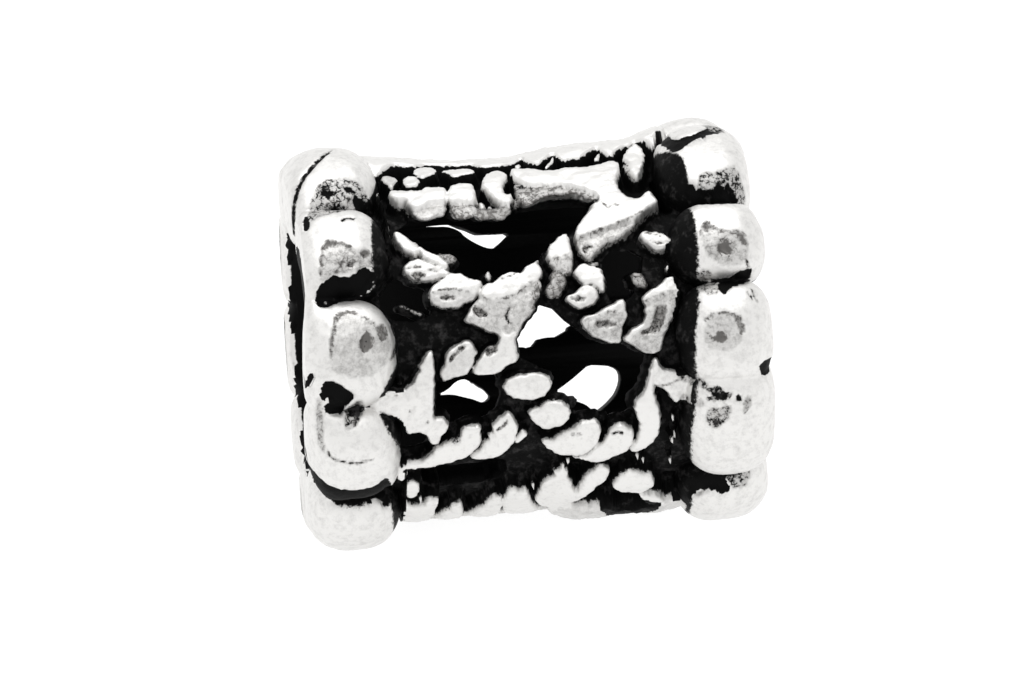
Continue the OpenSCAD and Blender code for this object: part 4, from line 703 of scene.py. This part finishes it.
def wall():
    """Vertices in mm and faces of the pierced tube, on a grid of (x along it, a round it).

    Outer skin: r = GROUND + height(x, a) - dents + casting ripples. Bore: r = BORE at a + turn.
    """
    x = np.concatenate([np.linspace(-5.6, -4.1, 8)[:-1], np.arange(-4.1, 4.1, 0.05),
                        np.linspace(4.1, 5.6, 8)])
    angle = np.concatenate([np.arange(-62, 126, 0.62), np.linspace(126.5, 298, 172)[:-1]])
    nx, na = len(x) - 1, len(angle)
    gx, ga = np.meshgrid(x, angle, indexing="ij")

    # cells in the windows are left out, and cells that meet only at a corner are filled up
    step = np.diff(np.append(angle, angle[0] + 360))
    kept = opening((gx[1:] + gx[:-1]) / 2, (ga + step / 2)[:-1]) <= 0
    for _ in range(12):
        a, b = kept[:-1], kept[1:]
        c, d = np.roll(a, -1, axis=1), np.roll(b, -1, axis=1)
        bad = (a == d) & (b == c) & (a != b)
        if not bad.any():
            break
        bad |= np.roll(bad, 1, axis=1)
        kept[:-1] |= bad
        kept[1:] |= bad
    # what hangs free in a window is left out: only what joins the left end stays
    solid = np.zeros_like(kept)
    solid[0] = True
    while True:
        grown = solid.copy()
        grown[1:] |= solid[:-1]
        grown[:-1] |= solid[1:]
        grown |= np.roll(solid, 1, axis=1) | np.roll(solid, -1, axis=1)
        grown &= kept
        if (grown == solid).all():
            break
        solid = grown
    kept = solid

    # points on the windows' edges slide to where the opening is 0, by three short Newton steps
    padded = np.pad(kept, ((1, 1), (0, 0)))
    around = [padded[1:], padded[:-1], np.roll(padded, 1, axis=1)[1:],
              np.roll(padded, 1, axis=1)[:-1]]
    edge = np.logical_or.reduce(around) & ~np.logical_and.reduce(around)
    edge[0] = edge[-1] = False
    ex, ey = gx[edge], ga[edge] * np.pi / 180 * GROUND
    e, to_deg = 0.01, 180 / np.pi / GROUND
    for _ in range(3):
        f = opening(ex, ey * to_deg)
        fx = (opening(ex + e, ey * to_deg) - opening(ex - e, ey * to_deg)) / (2 * e)
        fy = (opening(ex, (ey + e) * to_deg) - opening(ex, (ey - e) * to_deg)) / (2 * e)
        slope = np.maximum(fx * fx + fy * fy, 0.25)
        ex, ey = ex - np.clip(f * fx / slope, -0.02, 0.02), ey - np.clip(f * fy / slope, -0.02, 0.02)
    gx[edge], ga[edge] = ex, ey * 180 / np.pi / GROUND

    # relief, dents, and ripples of 0.5 and 0.17 mm in the casting; it sinks into the end rings
    height, depth, _ = rope_work(gx, ga)
    height -= marked(gx, ga)[2] * smooth(0, 0.03, depth)
    fade = smooth(5.2, 4.4, np.abs(gx))
    p = on_bead(gx, ga, GROUND)
    ground = 0.02 * waves(*np.moveaxis(p, -1, 0), 0.5, 5) + 0.012 * waves(*np.moveaxis(p, -1, 0), 0.17, 6)
    outer = on_bead(gx, ga, GROUND + fade * (height + ground) - 0.02)
    quarter = (ga - SIGHT + 90) % 180 - 90
    turn = np.where((quarter > 0) & (ga < 126), np.interp(quarter, *zip(*TOP_SIDE_TURN)),
                    np.interp(np.abs(quarter), *zip(*SIDE_TURN)))
    inner = on_bead(gx, ga + turn * np.sign(quarter), BORE)

    # faces of the skin and the bore, and of the sides wherever a kept cell has no neighbour
    at = np.arange((nx + 1) * na).reshape(nx + 1, na)
    right = np.roll(at, -1, axis=1)
    a, b, c, d = at[:-1], at[1:], right[1:], right[:-1]
    many = (nx + 1) * na
    skin = np.stack([a, b, c, d], -1)[kept]
    bore = np.stack([d, c, b, a], -1)[kept] + many
    faces = [skin, bore]
    beside = [(a, b, np.roll(kept, 1, axis=1)), (c, d, np.roll(kept, -1, axis=1)),
              (b, c, padded[2:]), (d, a, padded[:-2])]
    for start, end, other in beside:
        lone = kept & ~other
        s, t = start[lone], end[lone]
        faces.append(np.stack([t, s, s + many, t + many], -1))
    return np.concatenate([outer.reshape(-1, 3), inner.reshape(-1, 3)]), np.concatenate(faces)


def mesh_object(name, points_mm, quads):
    """Object in metres from points in mm and an array of quads, a repeated corner making a triangle."""
    used = np.unique(quads)
    renumber = np.full(len(points_mm), -1)
    renumber[used] = np.arange(len(used))
    points_mm, quads = points_mm[used], renumber[quads]
    keep = [list(dict.fromkeys(q)) for q in quads.tolist()]
    mesh = bpy.data.meshes.new(name)
    mesh.from_pydata((points_mm * 0.001).tolist(), [], [q for q in keep if len(q) > 2])
    obj = bpy.data.objects.new(name, mesh)
    bpy.context.scene.collection.objects.link(obj)
    return obj


# --- Granule rings -------------------------------------------------------------------------------
# A ring of ten worn granules closes each end. They are fused side by side, so each ring is one
# lumpy band with a crevice between neighbours, filed flat where the bead's ends were trued.

RING_R = 4.1            # radius of the circle that the granules' middles lie on, mm
GRANULE = 1.285         # half-height of a granule, mm
RING_X = 4.79           # place of each ring along the bead, mm
TOP_Z = 5.275           # height of the highest granule above the axis, mm

# Place of each ring's filed end: degrees round, then mm from the bead's middle
ENDS = {
    -1: [(-62, 5.97), (-20, 6), (12, 5.97), (28, 5.92), (42, 5.85), (55, 5.73), (72, 5.74),
         (85, 5.86), (100, 5.94), (130, 5.93), (170, 5.91), (215, 5.93), (245, 5.98), (298, 5.97)],
    1: [(-62, 5.9), (-30, 5.95), (0, 5.999), (60, 5.999), (85, 5.9), (110, 5.9), (160, 5.999),
        (298, 5.9)],
}

# Inner edge of the bright part of each ring: degrees round, mm from the bead's middle
WORN = {
    -1: [(-60, 3.7), (-25, 3.85), (-10, 3.6), (0, 3.6), (8, 3.9), (16, 4.25), (24, 3.85), (30, 3.5),
         (45, 3.5), (50, 3.85), (55, 4.02), (70, 3.95), (80, 3.8), (90, 3.6), (110, 3.4)],
    1: [(-60, 3.9), (-24, 3.9), (-8, 3.77), (0, 3.76), (8, 3.85), (16, 3.95), (23, 3.9), (32, 3.95),
        (40, 4.1), (46, 4.15), (55, 4.2), (64, 4.2), (72, 4.13), (80, 4.25), (88, 4.2), (97, 3.7),
        (110, 3.4)],
}

# Crevices of each ring: degrees round, how deep (0 to 1), and how far it reaches the filed end
CREVICES = {
    -1: [(-58, 1, 0.7), (-21, 1, 0.5), (15.5, 0.8, 0.3), (50, 0.9, 0.25), (82, 0.8, 0.4),
         (125, 1, 0.35), (161, 1, 0.35), (197, 1, 0.35), (232, 1, 0.35), (267, 1, 0.5)],
    1: [(-60, 1, 0.9), (-22, 0.9, 0.8), (17, 0.25, 0.7), (46.5, 0.8, 0.8), (74, 0.9, 0.8),
        (119, 1, 0.9), (155, 1, 0.9), (191, 1, 0.9), (227, 1, 0.9), (263, 1, 0.9)],
}


def ring(side):
    """Vertices in mm and faces of one ring, on a grid of (u round its section, a round the bead).

    Section radius = GRANULE / (|cos u|^2.4 + |sin u|^2.4)^(1/2.4) * (1 - w(u) (1 - q)), where
    q = (1 - (0.97 d)^2.3)^(1/2.3) falls from a granule's middle (d = 0) to its crevices (d = 1),
    and w is a crevice's depth there, less towards the filed end.
    """
    # where each point lies between its two crevices
    a = np.concatenate([np.arange(-62, 126, 0.6), np.arange(126, 298, 2.5)])
    u = np.concatenate([np.linspace(-0.72, 0.72, 95), np.linspace(0.72, 1.28, 17)[1:-1]]) * np.pi
    ga, gu = np.meshgrid(a, u, indexing="ij")
    marks = np.array(CREVICES[side] + [(CREVICES[side][0][0] + 360, *CREVICES[side][0][1:])])
    turn = (ga - marks[0, 0]) % 360 + marks[0, 0]
    k = np.searchsorted(marks[:, 0], turn, side="right") - 1
    low, high = marks[k, 0], marks[k + 1, 0]
    d = 2 * (turn - low) / (high - low) - 1
    nearest = np.where((d < 0)[..., None], marks[k], marks[k + 1])
    q = (1 - (0.97 * np.abs(d)) ** 2.3) ** (1 / 2.3)
    out, end = np.cos(gu), np.sin(gu)
    reach = nearest[..., 1] * (1 - (1 - nearest[..., 2]) * smooth(0.1, 0.9, end))
    radius = GRANULE / (np.abs(out) ** 2.4 + np.abs(end) ** 2.4) ** (1 / 2.4) * (1 - reach * (1 - q))
    # soft lumps of 1.5 mm, dents of 0.5 mm and the marks, and then the filed end
    x = side * (RING_X + radius * end)
    p = on_bead(x, ga, RING_R + radius * out)
    lumps = waves(*np.moveaxis(p, -1, 0), 1.5, 11 + side) - 1
    dents = -np.abs(waves(*np.moveaxis(p, -1, 0), 0.5, 21 + side))
    radius = radius * (1 + 0.018 * lumps + 0.012 * dents)
    far = np.interp(ga, *zip(*ENDS[side]))
    dent = marked(side * (RING_X + radius * end), ga)[2] * smooth(0.1, 0.4, out + np.abs(end) * 0.4)
    radius = radius - dent
    x = side * np.minimum(RING_X + radius * end, far)
    p = on_bead(x, ga, np.maximum(RING_R + radius * out, BORE + 0.02))
    p[..., 2] = np.clip(p[..., 2], -TOP_Z, TOP_Z)
    at = np.arange(ga.size).reshape(ga.shape)
    c1, c2 = np.roll(at, -1, axis=0), np.roll(at, -1, axis=1)
    c3 = np.roll(c1, -1, axis=1)
    quads = np.stack([at, c1, c3, c2] if side < 0 else [at, c2, c3, c1], -1).reshape(-1, 4)
    return p.reshape(-1, 3), quads


# --- Fused casting -------------------------------------------------------------------------------
# Wall and rings are cast in one, so they are united into one mesh and shaded smooth. The places that
# the front's fine detail doesn't reach need few triangles, so they are thinned before the rest.

TRIANGLES = 196000      # of the finished casting

points, faces = wall()
casting = mesh_object("bead_casting", points, faces)
for side in (-1, 1):
    band = mesh_object("ring", *ring(side))
    join = casting.modifiers.new("fuse", "BOOLEAN")
    join.operation, join.solver, join.object = "UNION", "MANIFOLD", band
    fused = bpy.data.meshes.new_from_object(
        casting.evaluated_get(bpy.context.evaluated_depsgraph_get()))
    casting.modifiers.clear()
    casting.data = fused
    bpy.data.objects.remove(band)
# the bore and the plain back go first, to a fifth of their points: with a factor above 0 the group
# is thinned wholly before the rest, and with 0 all is thinned alike
at = np.empty(len(casting.data.vertices) * 3)
casting.data.vertices.foreach_get("co", at)
_, y, z = at.reshape(-1, 3).T * 1000
plain = np.flatnonzero((np.hypot(y, z) < BORE + 0.15) | (y > 2.5))
casting.vertex_groups.new(name="plain").add(plain.tolist(), 1, "REPLACE")
triangles = sum(len(p.vertices) - 2 for p in casting.data.polygons)
for wanted, plain_first in ((triangles - 1.6 * len(plain), 0.001), (TRIANGLES, 0)):
    thin = casting.modifiers.new("thin", "DECIMATE")
    thin.vertex_group, thin.vertex_group_factor = "plain", plain_first
    thin.ratio = min(1, wanted / triangles)
    triangles = wanted
    fused = bpy.data.meshes.new_from_object(
        casting.evaluated_get(bpy.context.evaluated_depsgraph_get()))
    casting.modifiers.clear()
    casting.data = fused
casting.vertex_groups.clear()
casting.data.name = "bead_casting"
casting.data.polygons.foreach_set("use_smooth", [True] * len(casting.data.polygons))

# --- Antiqued silver -----------------------------------------------------------------------------
# The casting was blackened with liver of sulphur and then tumbled, so its tops are bright silver,
# its recesses stay black, and grey silver shows between them and round pits. The mesh carries
# polish (mm inside the bright part) and greyness (how grey it is, also on the ropes' faces under
# their crowns), and noise breaks their edges.

# Height over the tube, in mm, where a rope's side turns bright: degrees round, then mm. It is low on
# the upper ropes, whose grey front faces show, and high in the channel behind them.
BRIGHT_FROM = [(-10, 0.36), (45, 0.28), (75, 0.14), (84, 0.14), (90, 0.36)]
CHANNEL_FROM = 0.42


def finish_of(points_mm):
    """Polish and greyness at each point of the finished mesh, from its place.

    On the ropes polish is 0.6 * (height - bright_from), five times as steep in the channel, and
    at most 0.08 mm + the depth inside the top. On a ring's inner flank it is the least of
    r - 4.62 mm and 0.6 * the distance from the worn edge, and on the rest of the ring
    0.4 * (section radius - 0.7 mm). The marks then lower it. The bore and the windows are black.
    """
    x, y, z = points_mm.T
    r = np.hypot(y, z)
    angle = np.degrees(np.arctan2(z, -y))
    height, depth, haze = rope_work(x, angle)
    channel = smooth(93, 97, angle)
    face = np.interp(angle, *zip(*BRIGHT_FROM))
    face = (face + channel * (CHANNEL_FROM - face)) * lift(x, angle)
    polish = np.minimum(np.clip(depth + 0.08, -0.2, 0.2), (0.6 + 2.4 * channel) * (r - GROUND - face))
    # grey up to 0.8 on the front below 84 to 92 degrees round, on the tube and on the ropes' sides up to
    # 0.25 mm over it, fading out by 0.42 mm: the faces under the crowns turn grey
    haze = np.maximum(haze, 0.8 * smooth(0.42, 0.25, r - GROUND) * smooth(92, 84, angle))
    along = np.abs(x)
    section = np.hypot(along - RING_X, r - RING_R)
    ball = (along > 3.45) & (r > GROUND + 0.04) & (section > 0.3) & (depth < 0.05) | (along > 4.5)
    ball |= (along > 3.8) & (r > CROWN + 0.1)
    inner = along - np.where(x < 0, np.interp(angle, *zip(*WORN[-1])), np.interp(angle, *zip(*WORN[1])))
    flank = np.where(along < RING_X - 0.3, np.minimum(r - 4.62, 0.6 * inner), 0.4 * (section - 0.7))
    polish = np.where(ball, np.clip(flank, -0.2, 0.2), polish)
    haze = np.where(ball, np.where(flank > 0, 0.1, 0.7), haze)
    level, grey, _ = marked(x, angle)
    outside = r > 3.9
    polish = np.where(outside, np.minimum(polish, level), polish)
    haze = np.where(outside, np.maximum(haze, grey), haze)
    within = (r < GROUND - 0.15) & (along < 5.8)
    return np.where(within, -0.2, polish), np.where(within, -1, haze)


def srgb(hexa):
    """Linear colour from an sRGB hex string."""
    c = np.array([int(hexa[i:i + 2], 16) for i in (0, 2, 4)]) / 255
    return (*np.where(c <= 0.04045, c / 12.92, ((c + 0.055) / 1.055) ** 2.4), 1)


def node(tree, kind, settings=None, **links):
    """Adds a node with its settings. A link is input name = value, or = (node, output name).

    An input that has no name of its own is _0, _1 and so on, by its number.
    """
    n = tree.nodes.new(kind)
    for key, value in (settings or {}).items():
        setattr(n, key, value)
    for key, value in links.items():
        socket = n.inputs[int(key[1:])] if key[0] == "_" else n.inputs[key.replace("_", " ")]
        if isinstance(value, tuple) and isinstance(value[0], bpy.types.Node):
            tree.links.new(value[0].outputs[value[1]], socket)
        else:
            socket.default_value = value
    return n


points_mm = np.empty(len(casting.data.vertices) * 3)
casting.data.vertices.foreach_get("co", points_mm)
polish, haze = finish_of(points_mm.reshape(-1, 3) * 1000)
for name, values in (("polish", polish), ("haze", haze)):
    casting.data.attributes.new(name, "FLOAT", "POINT").data.foreach_set("value", values)

silver = bpy.data.materials.new("antiqued_silver")
silver.use_nodes = True
tree = silver.node_tree
tree.nodes.clear()
place = node(tree, "ShaderNodeTexCoord")
level = node(tree, "ShaderNodeAttribute", {"attribute_name": "polish"})
grey = node(tree, "ShaderNodeAttribute", {"attribute_name": "haze"})
# crumbs of 0.1 mm and less break the edge between bright and black
crumbs = node(tree, "ShaderNodeTexNoise", Vector=(place, "Object"), Scale=9500.0, Detail=6.0,
              Roughness=0.75)
# grey smears of about 0.2 mm, with specks of 0.04 mm in them
smears = node(tree, "ShaderNodeTexNoise", Vector=(place, "Object"), Scale=5200.0, Detail=8.0,
              Roughness=0.75)
# lumps of 0.15 mm in the grey parts, with broken dark cracks 0.02 mm wide between them
wander = node(tree, "ShaderNodeTexNoise", Vector=(place, "Object"), Scale=8000.0, Detail=4.0)
warped = node(tree, "ShaderNodeVectorMath", {"operation": "MULTIPLY_ADD"}, _0=(wander, "Color"),
              _1=(0.00025, 0.00025, 0.00025), _2=(place, "Object"))
lumps = node(tree, "ShaderNodeTexVoronoi", {"feature": "DISTANCE_TO_EDGE"}, Vector=(warped, 0),
             Scale=6500.0)
gap = node(tree, "ShaderNodeMapRange", {"interpolation_type": "SMOOTHSTEP"}, Value=(lumps, "Distance"),
           From_Min=0.02, From_Max=0.22, To_Min=1.0, To_Max=0.0)
some = node(tree, "ShaderNodeMapRange", Value=(smears, "Fac"), From_Min=0.44, From_Max=0.54)
grey_parts = node(tree, "ShaderNodeMapRange", Value=(grey, "Fac"), From_Min=0.32, From_Max=0.6)
crack = node(tree, "ShaderNodeMath", {"operation": "MULTIPLY"}, _0=(gap, 0), _1=(some, 0))
crack = node(tree, "ShaderNodeMath", {"operation": "MULTIPLY"}, _0=(crack, 0), _1=(grey_parts, 0))
broken = node(tree, "ShaderNodeMath", {"operation": "MULTIPLY_ADD"}, _0=(crumbs, "Fac"), _1=0.2,
              _2=(level, "Fac"))
broken = node(tree, "ShaderNodeMath", {"operation": "MULTIPLY_ADD"}, _0=(crack, 0), _1=-0.06,
              _2=(broken, 0))
bright = node(tree, "ShaderNodeMapRange", {"interpolation_type": "SMOOTHSTEP"}, Value=(broken, 0),
              From_Min=0.08, From_Max=0.13)
# tumbled silver is nearly white in soft light, and its smears, cracks and grey parts, the faces under the
# ropes' crowns among them, are a warm mid grey
smears_and_grey = node(tree, "ShaderNodeMath", {"operation": "MULTIPLY_ADD"}, _0=(smears, "Fac"), _1=1.2,
               _2=(grey, "Fac"))
smears_and_grey = node(tree, "ShaderNodeMath", {"operation": "MULTIPLY_ADD"}, _0=(crack, 0), _1=0.7,
               _2=(smears_and_grey, 0))
dull = node(tree, "ShaderNodeMapRange", Value=(smears_and_grey, 0), From_Min=0.66, From_Max=1.75)
tone = node(tree, "ShaderNodeMix", {"data_type": "RGBA"}, _0=(dull, 0), _6=srgb("E4E3E1"),
            _7=srgb("6B6967"))
# the black skin is sooty: dark grey where it is rubbed, in patches of 0.3 mm
soot = node(tree, "ShaderNodeTexNoise", Vector=(place, "Object"), Scale=3500.0, Detail=8.0,
            Roughness=0.7)
sooty = node(tree, "ShaderNodeMath", {"operation": "MULTIPLY_ADD"}, _0=(grey, "Fac"), _1=0.3,
             _2=(soot, "Fac"))
rubbed = node(tree, "ShaderNodeMapRange", Value=(sooty, 0), From_Min=0.74, From_Max=0.94)
skin = node(tree, "ShaderNodeMix", {"data_type": "RGBA"}, _0=(rubbed, 0), _6=srgb("060606"),
            _7=srgb("383737"))
colour = node(tree, "ShaderNodeMix", {"data_type": "RGBA"}, _0=(bright, 0), _6=(skin, 2), _7=(tone, 2))
# the skin is matt, the tumbled silver satin with a casting grain of 0.07 mm
rough = node(tree, "ShaderNodeMapRange", Value=(bright, 0), To_Min=0.6, To_Max=0.5)
grain = node(tree, "ShaderNodeTexNoise", Vector=(place, "Object"), Scale=14000.0, Detail=5.0,
             Roughness=0.65)
bump = node(tree, "ShaderNodeBump", Strength=0.35, Distance=0.00002, Height=(grain, "Fac"))
surface = node(tree, "ShaderNodeBsdfPrincipled", Metallic=(bright, 0), Roughness=(rough, 0),
               Normal=(bump, 0), Base_Color=(colour, 2), Specular_IOR_Level=0.06)
node(tree, "ShaderNodeOutputMaterial", Surface=(surface, 0))
casting.data.materials.clear()
casting.data.materials.append(silver)

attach(casting, "root")
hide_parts("bead")

# --- Floor, light and camera ---------------------------------------------------------------------
# A white sweep under soft white light, mostly from above, and a long lens 35 degrees above the floor.

low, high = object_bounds()
bpy.ops.mesh.primitive_plane_add(size=2, location=(0, 0, low.z))
floor = bpy.context.object
floor.name = "floor"
# matt white paper, so brightly lit that it shows next to no shadow
paper = bpy.data.materials.new("white_paper")
paper.use_nodes = True
for name, value in (("Base Color", (0.2, 0.2, 0.2, 1)), ("Roughness", 0.9),
                    ("Emission Color", (1, 1, 1, 1)), ("Emission Strength", 0.92)):
    paper.node_tree.nodes["Principled BSDF"].inputs[name].default_value = value
floor.data.materials.append(paper)
floor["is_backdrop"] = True

world = bpy.data.worlds.new("soft_white")
world.use_nodes = True
world.node_tree.nodes["Background"].inputs["Color"].default_value = (1, 1, 1, 1)
world.node_tree.nodes["Background"].inputs["Strength"].default_value = 1.0
bpy.context.scene.world = world

light = bpy.data.lights.new("softbox_above", "AREA")
light.size, light.energy = 0.16, 0.12       # m and W
softbox = bpy.data.objects.new("softbox_above", light)
softbox.location = (0, 0.03, 0.16)
softbox.rotation_euler = (-Vector(softbox.location)).to_track_quat("-Z", "Y").to_euler()
bpy.context.scene.collection.objects.link(softbox)

elevation, azimuth, roll = np.radians([35, 6.2, 0.9])
distance, px_per_mm = 0.15, 38.4            # m, and the picture's scale
wide, tall, middle = 1024, 688, (521, 333)      # the picture, and where the bead's middle shows
back = np.array([-np.sin(azimuth) * np.cos(elevation), -np.cos(azimuth) * np.cos(elevation),
                 np.sin(elevation)])
right = np.array([np.cos(azimuth), -np.sin(azimuth), 0])
up = np.cross(back, right)
turn_right = right * np.cos(roll) - up * np.sin(roll)
turn_up = right * np.sin(roll) + up * np.cos(roll)
data = bpy.data.cameras.new("camera")
data.sensor_width = 36
data.lens = px_per_mm * distance * 1000 / wide * data.sensor_width
data.shift_x, data.shift_y = (wide / 2 - middle[0]) / wide, -(tall / 2 - middle[1]) / wide
data.clip_start, data.clip_end = 0.01, 5
camera = bpy.data.objects.new("camera", data)
matrix = np.eye(4)
matrix[:3, 0], matrix[:3, 1], matrix[:3, 2], matrix[:3, 3] = turn_right, turn_up, back, back * distance
camera.matrix_world = Matrix(matrix.tolist())
bpy.context.scene.collection.objects.link(camera)
bpy.context.scene.camera = camera
bpy.context.scene.view_settings.view_transform = "Standard"

low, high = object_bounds()
